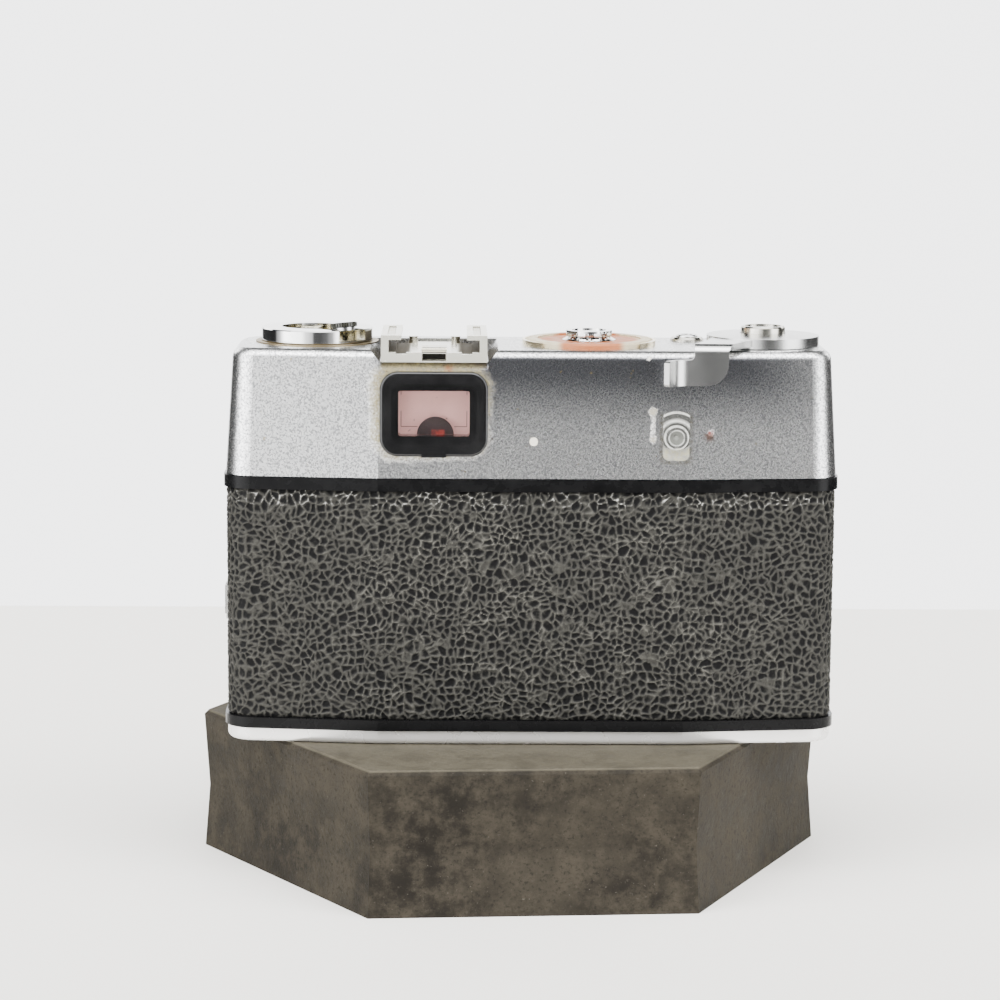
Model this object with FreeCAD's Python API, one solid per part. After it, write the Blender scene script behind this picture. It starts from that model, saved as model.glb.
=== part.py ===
"""Fixed-lens 35 mm rangefinder film camera standing on a hexagonal display block.

Millimetres, +Z up. The row's origin is the centre of the block's underside. The camera's back looks
towards -Y and its lens towards +Y. Every camera piece is modelled in the camera's own frame, whose
origin is the middle of the rear edge of the underside, and is moved onto the block when it is written.
"""
import math
import os

import FreeCAD
import Part

V = FreeCAD.Vector
Z_AXIS = V(0, 0, 1)
Y_AXIS = V(0, 1, 0)
X_AXIS = V(1, 0, 0)

# ---- driving dimensions: display block ----
BLOCK_SIDE = 68.0
BLOCK_HEIGHT = 30.7
BLOCK_TURN = 3.5
BLOCK_WAIST = 1.1
BLOCK_EDGE = 1.0
CAMERA_ON_BLOCK = V(3.1, -37.6, BLOCK_HEIGHT)

# ---- driving dimensions: camera body ----
HALF_WIDTH = 64.0
DEPTH = 34.0
CREASE_X = 32.0
FACET_DEG = 6.0
REAR_CORNER_R = 6.0
FRONT_CORNER_R = 9.0
BASE_TOP = 2.9
LEATHER_LOW = 5.3
LEATHER_HIGH = 53.8
COVER_LOW = 56.5
COVER_TOP = 83.0
COVER_TAPER_SIDE = 1.7
COVER_TAPER_FACE = 1.0
COVER_WALL = 0.8
COVER_EDGE_R = 2.2
BASE_SCREWS = [(-57, 12), (-57, 28), (57, 12), (57, 28)]
COVER_SCREWS = [(-60, 62.5), (60, 62.5)]
BAND_PROUD = 0.4
LEATHER_THICK = 0.6
DOOR_SPLIT_Y = 15.0
DOOR_WALL = 2.0
DOOR_GAP = 0.15
INNER_INSET = 3.2
FILM_PLANE_Y = 6.2

# ---- driving dimensions: top plate layout ----
REWIND_X, REWIND_Y, REWIND_R = -45.3, 20.0, 11.8
REWIND_LOW, REWIND_TOP = 83.3, 86.1
REWIND_POCKET = 83.9
REWIND_SHAFT_R = 2.5
CRANK_TURN = -47.0
CRANK_PIVOT_X, CRANK_PIVOT_Z = REWIND_X - 2.5, 84.4
CRANK_LENGTH = 11.4
CRANK_REST_DEG = 8.5
HANDLE_R = 2.75
SHOE_X, SHOE_W, SHOE_DEPTH, SHOE_SLOT = -20.45, 21.9, 23.4, 18.8
SHOE_TOP, SHOE_RAIL = 86.15, 4.15
VALLEY_Z = 80.6
VALLEY_DEPTH = 27.0
VALLEY_HALF_LOW, VALLEY_HALF_HIGH = 11.2, 13.25
SHOE_BED = 82.6
SHOE_POSTS = (-4.5, 4.45)
POST_Y = 20.5
DIAL_X, DIAL_Y, DIAL_R = 12.15, 17.2, 14.1
BUTTON_X, BUTTON_Y, BUTTON_R = 33.5, 25.5, 3.6
LEVER_X, LEVER_Y, LEVER_R = 48.9, 17.0, 11.85
LEVER_LOW, LEVER_TOP = 83.15, 85.15
ARM_LOW, ARM_TOP = 83.65, 84.95
THUMB_LEFT, THUMB_RIGHT, THUMB_LOW, THUMB_HIGH = 33.0, 40.0, 76.4, 81.7
THUMB_BACK, THUMB_FACE = -1.7, -3.0
CURL_X, CURL_R, CURL_DEG, CURL_TIP = 32.0, 4.0, 50.0, 2.1
FOLD_R = 2.1
COUNTER_POST_R = 3.1

# ---- driving dimensions: finder, socket and lens ----
EYE_X, EYE_Z, EYE_W, EYE_H, EYE_R = -20.45, 69.95, 22.4, 17.6, 3.8
GLASS_W, GLASS_H = 14.55, 9.2
SOCKET_X, SOCKET_Z = 29.7, 65.3
CAP_DOT_X, CAP_DOT_Z = 0.2, 64.3
WINDOW_X, WINDOW_Z, WINDOW_W, WINDOW_H = -4.5, 70.0, 52.0, 15.0
WINDOWS = [(EYE_X, 16.0, 10.6), (0.5, 13.0, 8.6), (15.5, 7.0, 5.6)]
LENS_X, LENS_Z = 0.0, 29.5
FLANGE_R = 24.0
FILTER_R, FILTER_DEPTH, FILTER_FRONT_Y = 20.25, 3.4, 59.0
SELF_TIMER_X, SELF_TIMER_Z = -34.0, 40.0
SPROCKET_X, SPROCKET_Y = 27.5, 13.0
SPOOL_X, SPOOL_Y, SPOOL_R = 45.5, 20.0, 6.5
HINGE_X, HINGE_Y, HINGE_R = 63.2, 17.0, 1.5
HINGE_CLEAR = 2.6
KNUCKLE_LOW, KNUCKLE_HIGH = 9.2, 49.9
TRIPOD_R = 3.175
SHAFT_R = 1.5
HINGE_PIN_R = 0.6
FIT = 0.05


# ---- helpers ----
def box(x0, x1, y0, y1, z0, z1):
    return Part.makeBox(x1 - x0, y1 - y0, z1 - z0, V(x0, y0, z0))


def centred_box(x, y0, y1, z, width, height):
    return box(x - width / 2, x + width / 2, y0, y1, z - height / 2, z + height / 2)


def upright(x, y, z0, z1, r):
    return Part.makeCylinder(r, z1 - z0, V(x, y, z0), Z_AXIS)


def along_y(x, z, y0, y1, r):
    return Part.makeCylinder(r, y1 - y0, V(x, y0, z), Y_AXIS)


def lens_cone(y0, y1, r0, r1):
    return Part.makeCone(r0, r1, y1 - y0, V(LENS_X, y0, LENS_Z), Y_AXIS)


def lens_tube(y0, y1, outer, inner):
    return along_y(LENS_X, LENS_Z, y0, y1, outer).cut(along_y(LENS_X, LENS_Z, y0 - 1, y1 + 1, inner))


def fuse(first, *others):
    result = first.multiFuse(list(others)) if others else first
    return result.removeSplitter()


def rounded_box(x, y0, y1, z, width, height, radius):
    solid = centred_box(x, y0, y1, z, width, height)
    edges = [e for e in solid.Edges if abs(e.Vertexes[0].Y - e.Vertexes[1].Y) > 1e-6]
    return solid.makeFillet(radius, edges)


def rounded_wire(points, radii, z):
    """Closed wire through points in plan, each corner rounded with its own radius."""
    count = len(points)
    starts, ends, middles = [], [], []
    for i, (corner, radius) in enumerate(zip(points, radii)):
        here = V(corner[0], corner[1], z)
        back = (V(*points[i - 1], z) - here).normalize()
        ahead = (V(*points[(i + 1) % count], z) - here).normalize()
        if radius <= 0:
            starts.append(here)
            ends.append(here)
            middles.append(None)
            continue
        half = back.getAngle(ahead) / 2
        bisector = (back + ahead).normalize()
        centre = here + bisector * (radius / math.sin(half))
        starts.append(here + back * (radius / math.tan(half)))
        ends.append(here + ahead * (radius / math.tan(half)))
        middles.append(centre - bisector * radius)
    edges = []
    for i in range(count):
        if middles[i] is not None:
            edges.append(Part.Arc(starts[i], middles[i], ends[i]).toShape())
        edges.append(Part.makeLine(ends[i], starts[(i + 1) % count]))
    return Part.Wire(edges)


def body_plan(z, rear=0.0, side=0.0, front=0.0):
    """The camera's outline at height z, taken in by the given amounts."""
    end_y = (HALF_WIDTH - CREASE_X) * math.tan(math.radians(FACET_DEG))
    corners = [(-CREASE_X, 0), (CREASE_X, 0), (HALF_WIDTH, end_y),
               (HALF_WIDTH, DEPTH), (-HALF_WIDTH, DEPTH), (-HALF_WIDTH, end_y)]
    insets = [rear, rear, side, front, side, rear]
    lines = []
    for i, inset in enumerate(insets):
        x0, y0 = corners[i]
        x1, y1 = corners[(i + 1) % 6]
        length = math.hypot(x1 - x0, y1 - y0)
        ux, uy = (x1 - x0) / length, (y1 - y0) / length
        lines.append((x0 - uy * inset, y0 + ux * inset, ux, uy))
    points = []
    for i in range(6):
        ax, ay, au, av = lines[i - 1]
        bx, by, bu, bv = lines[i]
        step = ((bx - ax) * bv - (by - ay) * bu) / (au * bv - av * bu)
        points.append((ax + au * step, ay + av * step))
    back_r, face_r = REAR_CORNER_R - rear, FRONT_CORNER_R - front
    return rounded_wire(points, [0, 0, back_r, face_r, face_r, back_r], z)


def body_prism(z0, z1, inset=0.0):
    return Part.Face(body_plan(z0, inset, inset, inset)).extrude(V(0, 0, z1 - z0))


def toothed_disc(x, y, z0, z1, outer, root, teeth):
    """A disc with a serrated edge, its flutes cut half a tooth wide."""
    points = []
    for i in range(teeth):
        for share, radius in ((0.0, root), (0.25, outer), (0.75, outer)):
            angle = 2 * math.pi * (i + share) / teeth
            points.append(V(x + radius * math.cos(angle), y + radius * math.sin(angle), z0))
    return Part.Face(Part.makePolygon(points + points[:1])).extrude(V(0, 0, z1 - z0))


def knurled_ring(y0, y1, outer, inner, teeth, depth=0.35):
    """A lens ring whose rim is fluted along the optical axis."""
    rim = toothed_disc(0, 0, 0, y1 - y0, outer, outer - depth, teeth)
    rim.rotate(V(0, 0, 0), V(1, 0, 0), -90)
    rim.translate(V(LENS_X, y0, LENS_Z))
    return rim.cut(along_y(LENS_X, LENS_Z, y0 - 1, y1 + 1, inner))


# ---- display block ----
def display_block():
    """Hexagonal riser whose sides are hollowed a little at mid height."""
    def hexagon(radius, z):
        angles = [math.radians(a + BLOCK_TURN) for a in range(0, 361, 60)]
        return Part.makePolygon([V(radius * math.cos(a), radius * math.sin(a), z) for a in angles])
    rings = [hexagon(BLOCK_SIDE, 0), hexagon(BLOCK_SIDE - BLOCK_WAIST, BLOCK_HEIGHT * 0.45),
             hexagon(BLOCK_SIDE, BLOCK_HEIGHT - BLOCK_EDGE),
             hexagon(BLOCK_SIDE - BLOCK_EDGE, BLOCK_HEIGHT)]
    return Part.makeLoft(rings, True, True)


# ---- chassis ----
def body_casting():
    """Die-cast chassis: front and sides, film chambers, gate and the two rims that frame the leather."""
    front_half = box(-80, 80, DOOR_SPLIT_Y + 0.3, 60, -5, 90)
    skin = body_prism(LEATHER_LOW, LEATHER_HIGH, LEATHER_THICK).common(front_half)
    low_rim = body_prism(BASE_TOP, LEATHER_LOW, -BAND_PROUD).common(front_half)
    high_rim = body_prism(LEATHER_HIGH, COVER_LOW, -BAND_PROUD).common(front_half)
    core = body_prism(BASE_TOP, COVER_LOW, INNER_INSET).common(box(-80, 80, -5, DOOR_SPLIT_Y + 1, -5, 90))
    solid = fuse(skin, low_rim, high_rim, core)
    chamber_low, chamber_high = BASE_TOP + 1.4, COVER_LOW - 1.8
    cuts = [
        upright(REWIND_X, REWIND_Y, chamber_low, chamber_high, 12.7),
        box(REWIND_X - 12.7, REWIND_X + 12.7, -1, REWIND_Y, chamber_low, chamber_high),
        upright(SPOOL_X, SPOOL_Y, chamber_low, chamber_high, 12.0),
        box(SPROCKET_X - 5.5, SPOOL_X + 12.0, -1, SPROCKET_Y, chamber_low, chamber_high),
        box(SPOOL_X - 12.0, SPOOL_X + 12.0, -1, SPOOL_Y, chamber_low, chamber_high),
        upright(SPROCKET_X, SPROCKET_Y, chamber_low, chamber_high, 5.5),
        box(-33, 33, -1, FILM_PLANE_Y, 8.0, 51.0),
        centred_box(LENS_X, 0, 9.0, LENS_Z, 36.0, 24.0),
        lens_cone(7.7, DEPTH + 1, 21.5, 17.0).common(centred_box(LENS_X, 0, 60, LENS_Z, 40, 27)),
        along_y(LENS_X, LENS_Z, 26, DEPTH + 2, 17.0 + FIT),
        upright(REWIND_X, REWIND_Y, chamber_high - 1, COVER_LOW + 1, 2.6),
        upright(SPOOL_X, SPOOL_Y, BASE_TOP + 0.4, COVER_LOW + 1, SHAFT_R + FIT),
        upright(SPROCKET_X, SPROCKET_Y, BASE_TOP + 0.4, COVER_LOW + 1, SHAFT_R + FIT),
        upright(0, 20, 0, 7.2, 7.0),
        upright(18, 13, 0, 7.0, 2.9),
        along_y(SELF_TIMER_X, SELF_TIMER_Z, DEPTH - 4.0, DEPTH + 1, 1.2 + FIT),
        upright(HINGE_X, HINGE_Y, BASE_TOP - 1, COVER_LOW + 1, HINGE_CLEAR),
        box(-70, -HALF_WIDTH + 1.6, DOOR_SPLIT_Y, 22, 22.0, 38.0),
    ]
    rails = [box(-32, 32, FILM_PLANE_Y - 0.3, FILM_PLANE_Y + 0.5, z, z + 1.2)
             for z in (LENS_Z - 14.8, LENS_Z + 13.6)]
    return fuse(solid.cut(cuts), *rails, *hinge_knuckles(), *spring_bracket())


def hinge_knuckles():
    """The chassis's two knuckles, above and below the door's."""
    knuckles = []
    for z0, z1 in ((BASE_TOP, KNUCKLE_LOW), (KNUCKLE_HIGH, COVER_LOW)):
        knuckle = upright(HINGE_X, HINGE_Y, z0, z1, HINGE_R)
        leaf = box(HALF_WIDTH - 4.4, HINGE_X, HINGE_Y + 0.8, HINGE_Y + 1.4, z0, z1)
        bore = upright(HINGE_X, HINGE_Y, 0, 70, HINGE_PIN_R + FIT)
        knuckles.append(knuckle.fuse(leaf).removeSplitter().cut(bore))
    return knuckles


def spring_bracket():
    """Ledge on the chassis that the release spring pushes against."""
    wall = box(BUTTON_X - 5, BUTTON_X + 5, BUTTON_Y + 3.2, BUTTON_Y + 4.2, COVER_LOW - 0.5, 71.1)
    return [box(BUTTON_X - 5, BUTTON_X + 5, BUTTON_Y - 4, BUTTON_Y + 4.2, 70.2, 71.1), wall]


def base_plate():
    """Pressed metal pan under the chassis."""
    pan = Part.Face(body_plan(0, 0.1, 0.1, 0.1)).extrude(V(0, 0, BASE_TOP))
    rim = [e for e in pan.Edges if e.BoundBox.ZMax < 0.01]
    pan = pan.makeFillet(1.3, rim)
    hollow = body_prism(0.9, BASE_TOP + 1, 1.4)
    holes = [upright(0, 20, -1, 4, 7.0), upright(18, 13, -1, 4, 2.4)]
    holes += [upright(x, y, -1, 4, 1.1) for x, y in BASE_SCREWS]
    return pan.cut([hollow] + holes)


def tripod_socket():
    """Threaded bush for a tripod screw, modelled at the thread's major radius."""
    bush = fuse(upright(0, 20, 0.0, 7.0, 6.9))
    return bush.cut(upright(0, 20, -1, 6.0, TRIPOD_R))


def rewind_button():
    """Recessed button that frees the sprocket for rewinding."""
    return fuse(upright(18, 13, 0.35, 4.4, 2.3), upright(18, 13, 3.2, 4.4, 2.75))


# ---- back door ----
def door_cut(z0, z1):
    return box(-80, 80, -5, DOOR_SPLIT_Y, z0, z1)


def back_door():
    """Hinged back: a U-shaped wall with a rim above and below the leather and a knuckle at the hinge."""
    low, high = BASE_TOP + DOOR_GAP, COVER_LOW - DOOR_GAP
    wall = body_prism(LEATHER_LOW, LEATHER_HIGH, LEATHER_THICK)
    rims = [body_prism(low, LEATHER_LOW, -BAND_PROUD), body_prism(LEATHER_HIGH, high, -BAND_PROUD)]
    shell = fuse(wall, *rims).cut(body_prism(0, 70, DOOR_WALL)).common(door_cut(low, high))
    leaf_low, leaf_high = KNUCKLE_LOW + DOOR_GAP, KNUCKLE_HIGH - DOOR_GAP
    leaf = box(HALF_WIDTH - DOOR_WALL, HINGE_X, DOOR_SPLIT_Y - 3, HINGE_Y - 0.6, leaf_low, leaf_high)
    leaf = leaf.common(body_prism(0, 70, LEATHER_THICK))
    barrel = upright(HINGE_X, HINGE_Y, leaf_low, leaf_high, HINGE_R)
    bore = upright(HINGE_X, HINGE_Y, 0, 70, HINGE_PIN_R + FIT)
    latch_slot = box(-70, -HALF_WIDTH + 1.4, 8.0, DOOR_SPLIT_Y + 1, 24.0, 36.0)
    return fuse(shell, leaf, barrel).cut([bore, latch_slot])


def back_leather():
    """Grained covering wrapped round the door, between its two rims."""
    gap = 0.05
    outer = body_prism(LEATHER_LOW + gap, LEATHER_HIGH - gap, 0.0)
    sheet = outer.cut(body_prism(0, 70, LEATHER_THICK)).common(door_cut(0, 70))
    latch_slot = box(-70, -HALF_WIDTH + 1.4, 8.0, DOOR_SPLIT_Y + 1, 23.8, 36.2)
    return sheet.cut(latch_slot)


def hinge_pin():
    return upright(HINGE_X, HINGE_Y, BASE_TOP + 0.1, COVER_LOW - 0.1, HINGE_PIN_R)


def pressure_plate():
    plate = box(-28, 28, 4.1, 5.5, LENS_Z - 18, LENS_Z + 18)
    return plate.makeFillet(3.0, [e for e in plate.Edges if abs(e.Vertexes[0].Y - e.Vertexes[1].Y) > 1e-6])


def pressure_springs():
    """Two bowed leaf springs between the door and the pressure plate."""
    springs = []
    for z in (LENS_Z - 10, LENS_Z + 10):
        outer = Part.Arc(V(-18, DOOR_WALL + 0.05, z), V(0, 4.05, z), V(18, DOOR_WALL + 0.05, z)).toShape()
        inner = Part.Arc(V(-17, DOOR_WALL + 0.05, z), V(0, 3.75, z), V(17, DOOR_WALL + 0.05, z)).toShape()
        left = Part.makeLine(V(-18, DOOR_WALL + 0.05, z), V(-17, DOOR_WALL + 0.05, z))
        right = Part.makeLine(V(17, DOOR_WALL + 0.05, z), V(18, DOOR_WALL + 0.05, z))
        face = Part.Face(Part.Wire(Part.__sortEdges__([outer, left, inner, right])))
        springs.append(face.extrude(V(0, 0, 4)))
    return Part.makeCompound(springs)


def back_latch():
    """Sliding catch on the end of the camera that holds the door shut."""
    slide = box(-HALF_WIDTH - 0.1, -HALF_WIDTH + 1.0, 8.5, 20.5, 25.2, 33.0)
    grips = [box(-HALF_WIDTH - 0.5, -HALF_WIDTH, 10 + 2 * i, 11 + 2 * i, 26, 32.2) for i in range(5)]
    return fuse(slide, *grips)


# ---- covers ----
def front_leather():
    """Two grained panels on the front, either side of the lens."""
    gap = 0.05
    outer = body_prism(LEATHER_LOW + gap, LEATHER_HIGH - gap, 0.0)
    ring = outer.cut(body_prism(0, 70, LEATHER_THICK)).common(box(-80, 80, DOOR_SPLIT_Y + 0.35, 60, -5, 90))
    tool = [along_y(LENS_X, LENS_Z, 20, 50, FLANGE_R + 0.1), box(-70, -60, 14, 22.1, 21.9, 38.1),
            box(60, 70, 14, HINGE_Y + HINGE_R + 1.0, 0, 70), along_y(SELF_TIMER_X, SELF_TIMER_Z, 20, 50, 4.1)]
    return ring.cut(tool)


def cover_loft(extra, z0, z1):
    """The tapering top cover's volume, taken in by extra on every side."""
    def section(z):
        share = (z - COVER_LOW) / (COVER_TOP - COVER_LOW)
        face, side = COVER_TAPER_FACE * share + extra, COVER_TAPER_SIDE * share + extra
        return body_plan(z, face, side, face)
    return Part.makeLoft([section(z0), section(z1)], True, True)


def shoe_valley(grow, floor):
    """The dip that the accessory shoe sits in: upright sides up to its floor and sloping ends above."""
    low, high = VALLEY_HALF_LOW + grow, VALLEY_HALF_HIGH + grow
    bend, above = VALLEY_Z - grow, COVER_TOP + 3
    wide = low + (high - low) / (COVER_TOP - VALLEY_Z) * (above - bend)
    points = [(-low, floor), (low, floor), (low, bend), (wide, above), (-wide, above), (-low, bend)]
    wire = Part.makePolygon([V(SHOE_X + x, -3, z) for x, z in points + points[:1]])
    return Part.Face(wire).extrude(V(0, 3 + VALLEY_DEPTH + grow, 0))


def rounded_cover(top):
    """The cover's volume up to the given height, with its top edge rounded."""
    solid = cover_loft(0.0, COVER_LOW, top)
    rim = [e for e in solid.Edges if e.BoundBox.ZMin > top - 0.01]
    return solid.makeFillet(COVER_EDGE_R, rim)


def top_cover():
    """Satin pressed cover with a dip for the shoe and openings for the controls."""
    below = VALLEY_Z - COVER_EDGE_R - 0.5
    dip = box(SHOE_X - VALLEY_HALF_LOW, SHOE_X + VALLEY_HALF_LOW, -3, VALLEY_DEPTH, below, VALLEY_Z)
    outer = rounded_cover(COVER_TOP).cut(shoe_valley(0.0, below))
    outer = fuse(outer, rounded_cover(VALLEY_Z).common(dip))
    inner = cover_loft(COVER_WALL, COVER_LOW - 0.5, COVER_TOP - COVER_WALL)
    inner = inner.cut(shoe_valley(COVER_WALL, VALLEY_Z - COVER_WALL))
    holes = [
        rounded_box(EYE_X, -5, 6, EYE_Z, EYE_W, EYE_H, EYE_R),
        rounded_box(SOCKET_X, -5, 6, SOCKET_Z + 0.3, 5.4, 10.2, 1.2),
        along_y(CAP_DOT_X, CAP_DOT_Z, -5, 6, 0.6),
        rounded_box(WINDOW_X, 25, 45, WINDOW_Z, WINDOW_W, WINDOW_H, 2.2),
        upright(REWIND_X, REWIND_Y, 80, 90, 3.2),
        upright(DIAL_X, DIAL_Y, 80, 90, SHAFT_R + FIT),
        upright(BUTTON_X, BUTTON_Y, 80, 90, 3.0),
        upright(LEVER_X, LEVER_Y, 80, 90, 3.4),
    ]
    holes += [Part.makeCylinder(1.2, 8, V(x - 4, 25, z), V(1, 0, 0)) for x, z in COVER_SCREWS]
    return outer.cut(inner).cut(holes)


def case_screws():
    """Slotted screws: four in the base plate and one in each end of the top cover."""
    screws = []
    for x, y in BASE_SCREWS:
        head = upright(x, y, 0.1, 0.9, 1.05)
        screws.append(head.cut(box(x - 1.2, x + 1.2, y - 0.2, y + 0.2, 0, 0.4)))
    for x, z in COVER_SCREWS:
        side = 1 if x > 0 else -1
        share = (z - COVER_LOW) / (COVER_TOP - COVER_LOW)
        face = side * (HALF_WIDTH - COVER_TAPER_SIDE * share + 0.15)
        shank = Part.makeCylinder(1.15, 4, V(face, 25, z), V(-side, 0, 0))
        head = Part.makeCylinder(2.0, 0.7, V(face, 25, z), V(side, 0, 0))
        slot = box(face + side * 0.35 - 0.36, face + side * 0.35 + 0.36, 20, 30, z - 0.25, z + 0.25)
        slot.translate(V(side * 0.4, 0, 0))
        screws.append(head.fuse(shank).removeSplitter().cut(slot))
    return Part.makeCompound(screws)


# ---- finder ----
def eyepiece_frame():
    """Black moulded eyepiece whose mouth steps down to the glass, with a raised tab at its foot."""
    frame = rounded_box(EYE_X, -1.0, 0.9, EYE_Z, EYE_W, EYE_H, EYE_R)
    lip = [e for e in frame.Edges if e.BoundBox.YMax < -0.99]
    frame = frame.makeFillet(0.6, lip)
    neck = rounded_box(EYE_X, 0.8, 4.5, EYE_Z, EYE_W - 1.8, EYE_H - 1.8, 2.9)
    tab = centred_box(EYE_X, -1.3, -0.1, EYE_Z - EYE_H / 2 + 0.95, 5.1, 2.1)
    dent = centred_box(EYE_X, -1.4, -1.1, EYE_Z - EYE_H / 2 + 1.05, 3.5, 1.1)
    steps = []
    for i, end in enumerate((-0.75, -0.4, -0.05, 0.3, 0.65, 5.0)):
        wider = 3.0 - 0.56 * i
        steps.append(rounded_box(EYE_X, -2, end, EYE_Z, GLASS_W + wider, GLASS_H + wider * 1.1, 2.3 - 0.35 * i))
    return fuse(frame, neck, tab).cut([dent] + steps)


def eyepiece_lens():
    return rounded_box(EYE_X, 2.0, 3.2, EYE_Z, GLASS_W + 0.1, GLASS_H + 0.1, 0.45)


def finder_mask():
    """Half-round shadow plate at the foot of the finder's field, in front of the beam splitter."""
    disc = along_y(EYE_X + 0.3, EYE_Z - 4.8, 3.3, 3.7, 3.85)
    return disc.common(centred_box(EYE_X, 3, 4, EYE_Z, GLASS_W - 1, GLASS_H))


def beam_splitter():
    """Half-silvered pane at the back of the finder block."""
    return centred_box(EYE_X, 4.9, 5.5, EYE_Z - 0.4, GLASS_W + 1.1, GLASS_H + 2.1)


def finder_block():
    """Housing of the finder and rangefinder optics, under the top cover."""
    tube = centred_box(EYE_X, 4.7, 31.3, EYE_Z - 0.6, 20.0, 15.0)
    tunnel = centred_box(EYE_X, 4.0, 32.0, EYE_Z - 0.4, 16.0, 11.5)
    arm = box(EYE_X + 10.0, 16, 17.0, 28.0, EYE_Z - 8.0, EYE_Z + 3.0)
    foot = box(EYE_X - 10, 16, 6.0, 28.0, COVER_LOW + 0.1, EYE_Z - 8.0)
    return fuse(tube, arm, foot).cut(tunnel)


def front_window_frame():
    """Black bezel on the front that holds the finder's three windows."""
    plate = rounded_box(WINDOW_X, 32.6, 34.8, WINDOW_Z, WINDOW_W, WINDOW_H, 2.2)
    neck = rounded_box(WINDOW_X, 31.5, 32.7, WINDOW_Z, WINDOW_W - 1.8, WINDOW_H - 1.8, 1.4)
    return fuse(plate, neck).cut([
        rounded_box(x, 30, 36, WINDOW_Z, w, h, 0.8) for x, w, h in WINDOWS])


def front_windows():
    """Clear panes for the finder, its frame lines and the rangefinder."""
    return Part.makeCompound([
        rounded_box(x, 33.0, 34.2, WINDOW_Z, w - 0.05, h - 0.05, 0.75) for x, w, h in WINDOWS])


# ---- back of the top cover ----
def sync_socket():
    """Flash socket: an upright guide plate with two ribs above a round shell."""
    plate = rounded_box(SOCKET_X, -0.15, 0.75, SOCKET_Z + 0.3, 5.4, 10.2, 1.2)
    shell = along_y(SOCKET_X, SOCKET_Z, -1.0, 4.0, 2.05)
    shell = shell.fuse(along_y(SOCKET_X, SOCKET_Z, -0.9, 0.0, 2.5))
    ribs = []
    for radius in (3.9, 5.7):
        rib = along_y(SOCKET_X, SOCKET_Z - 0.4, -0.4, 0.2, radius)
        rib = rib.cut(along_y(SOCKET_X, SOCKET_Z - 0.4, -1, 1, radius - 0.4))
        ribs.append(rib.common(box(SOCKET_X - 2.65, SOCKET_X + 2.65, -1, 1, SOCKET_Z + 1.5, SOCKET_Z + 8)))
    return fuse(plate, shell, *ribs).cut(along_y(SOCKET_X, SOCKET_Z, -3, 3.0, 1.5))


def sync_insulator():
    ring = along_y(SOCKET_X, SOCKET_Z, -0.3, 3.0, 1.45)
    return ring.cut(along_y(SOCKET_X, SOCKET_Z, -1, 4.0, 0.6))


def sync_pin():
    return along_y(SOCKET_X, SOCKET_Z, -0.7, 3.0, 0.55)


def adjuster_cap():
    """Small cap over the rangefinder's adjusting screw."""
    return fuse(along_y(CAP_DOT_X, CAP_DOT_Z, -0.3, 0.2, 0.85), along_y(CAP_DOT_X, CAP_DOT_Z, 0.1, 3.0, 0.55))


# ---- accessory shoe ----
def accessory_shoe():
    """Folded sheet-metal shoe: bed, two side walls and two inward rails with a window in each."""
    half = SHOE_W / 2
    inner = SHOE_SLOT / 2
    y0, y1 = 0.4, 0.4 + SHOE_DEPTH
    bed = box(SHOE_X - half, SHOE_X + half, y0, y1, VALLEY_Z, SHOE_BED)
    walls = [box(SHOE_X - half, SHOE_X - inner, y0, y1, SHOE_BED - 0.5, SHOE_TOP),
             box(SHOE_X + inner, SHOE_X + half, y0, y1, SHOE_BED - 0.5, SHOE_TOP)]
    rails = [box(SHOE_X - half, SHOE_X - half + SHOE_RAIL, y0, y1, SHOE_TOP - 0.95, SHOE_TOP),
             box(SHOE_X + half - SHOE_RAIL, SHOE_X + half, y0, y1, SHOE_TOP - 0.95, SHOE_TOP)]
    body = fuse(bed, *walls, *rails)
    windows = [box(x - 0.8, x + 0.8, y0 + 2.2, y1 - 2.6, SHOE_TOP - 1.5, SHOE_TOP + 1)
               for x in (SHOE_X - half + 2.1, SHOE_X + half - 2.1)]
    notch = centred_box(SHOE_X, y0 - 1, y0 + 3.0, VALLEY_Z + 1.05, 5.0, 1.55)
    relief = [box(x - 1.1, x + 1.1, y0 - 1, y1 + 1, SHOE_BED - 0.35, SHOE_BED + 1) for x in
              (SHOE_X - inner + 2.6, SHOE_X + inner - 2.6)]
    post_holes = [upright(SHOE_X + dx, POST_Y, 81.5, 84, 1.0) for dx in SHOE_POSTS]
    return body.cut(windows + [notch] + relief + post_holes)


def shoe_spring():
    """Leaf springs in both rails' windows, and a tongue with a rolled lip at the mouth of the shoe."""
    half = SHOE_W / 2
    strips = []
    for side in (-1, 1):
        x = SHOE_X + side * (half - 2.1)
        strips.append(box(x - 0.7, x + 0.7, 3.2, 20.6, SHOE_TOP - 0.7, SHOE_TOP - 0.25))
    tongue = centred_box(SHOE_X, 1.0, 12.0, SHOE_BED + 0.2, 5.2, 0.4)
    roll = Part.makeCylinder(0.5, 5.2, V(SHOE_X - 2.6, 1.05, SHOE_BED + 0.52), V(1, 0, 0))
    return Part.makeCompound(strips + [fuse(tongue, roll)])


def shoe_screws():
    """Two raised fastening studs at the far end of the shoe's bed."""
    return Part.makeCompound([upright(SHOE_X + dx, POST_Y, 81.5, 84.1, 0.98) for dx in SHOE_POSTS])


# ---- rewind ----
def rewind_seat():
    return upright(REWIND_X, REWIND_Y, COVER_TOP, REWIND_LOW - 0.05, 13.0).cut(
        upright(REWIND_X, REWIND_Y, 80, 90, 3.2))


def rewind_collar():
    """Washer on the rewind shaft that the shaft is pulled up by."""
    bore = upright(REWIND_X, REWIND_Y, 50, 60, REWIND_SHAFT_R + FIT)
    return upright(REWIND_X, REWIND_Y, 57.0, 58.5, 4.6).cut(bore)


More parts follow.
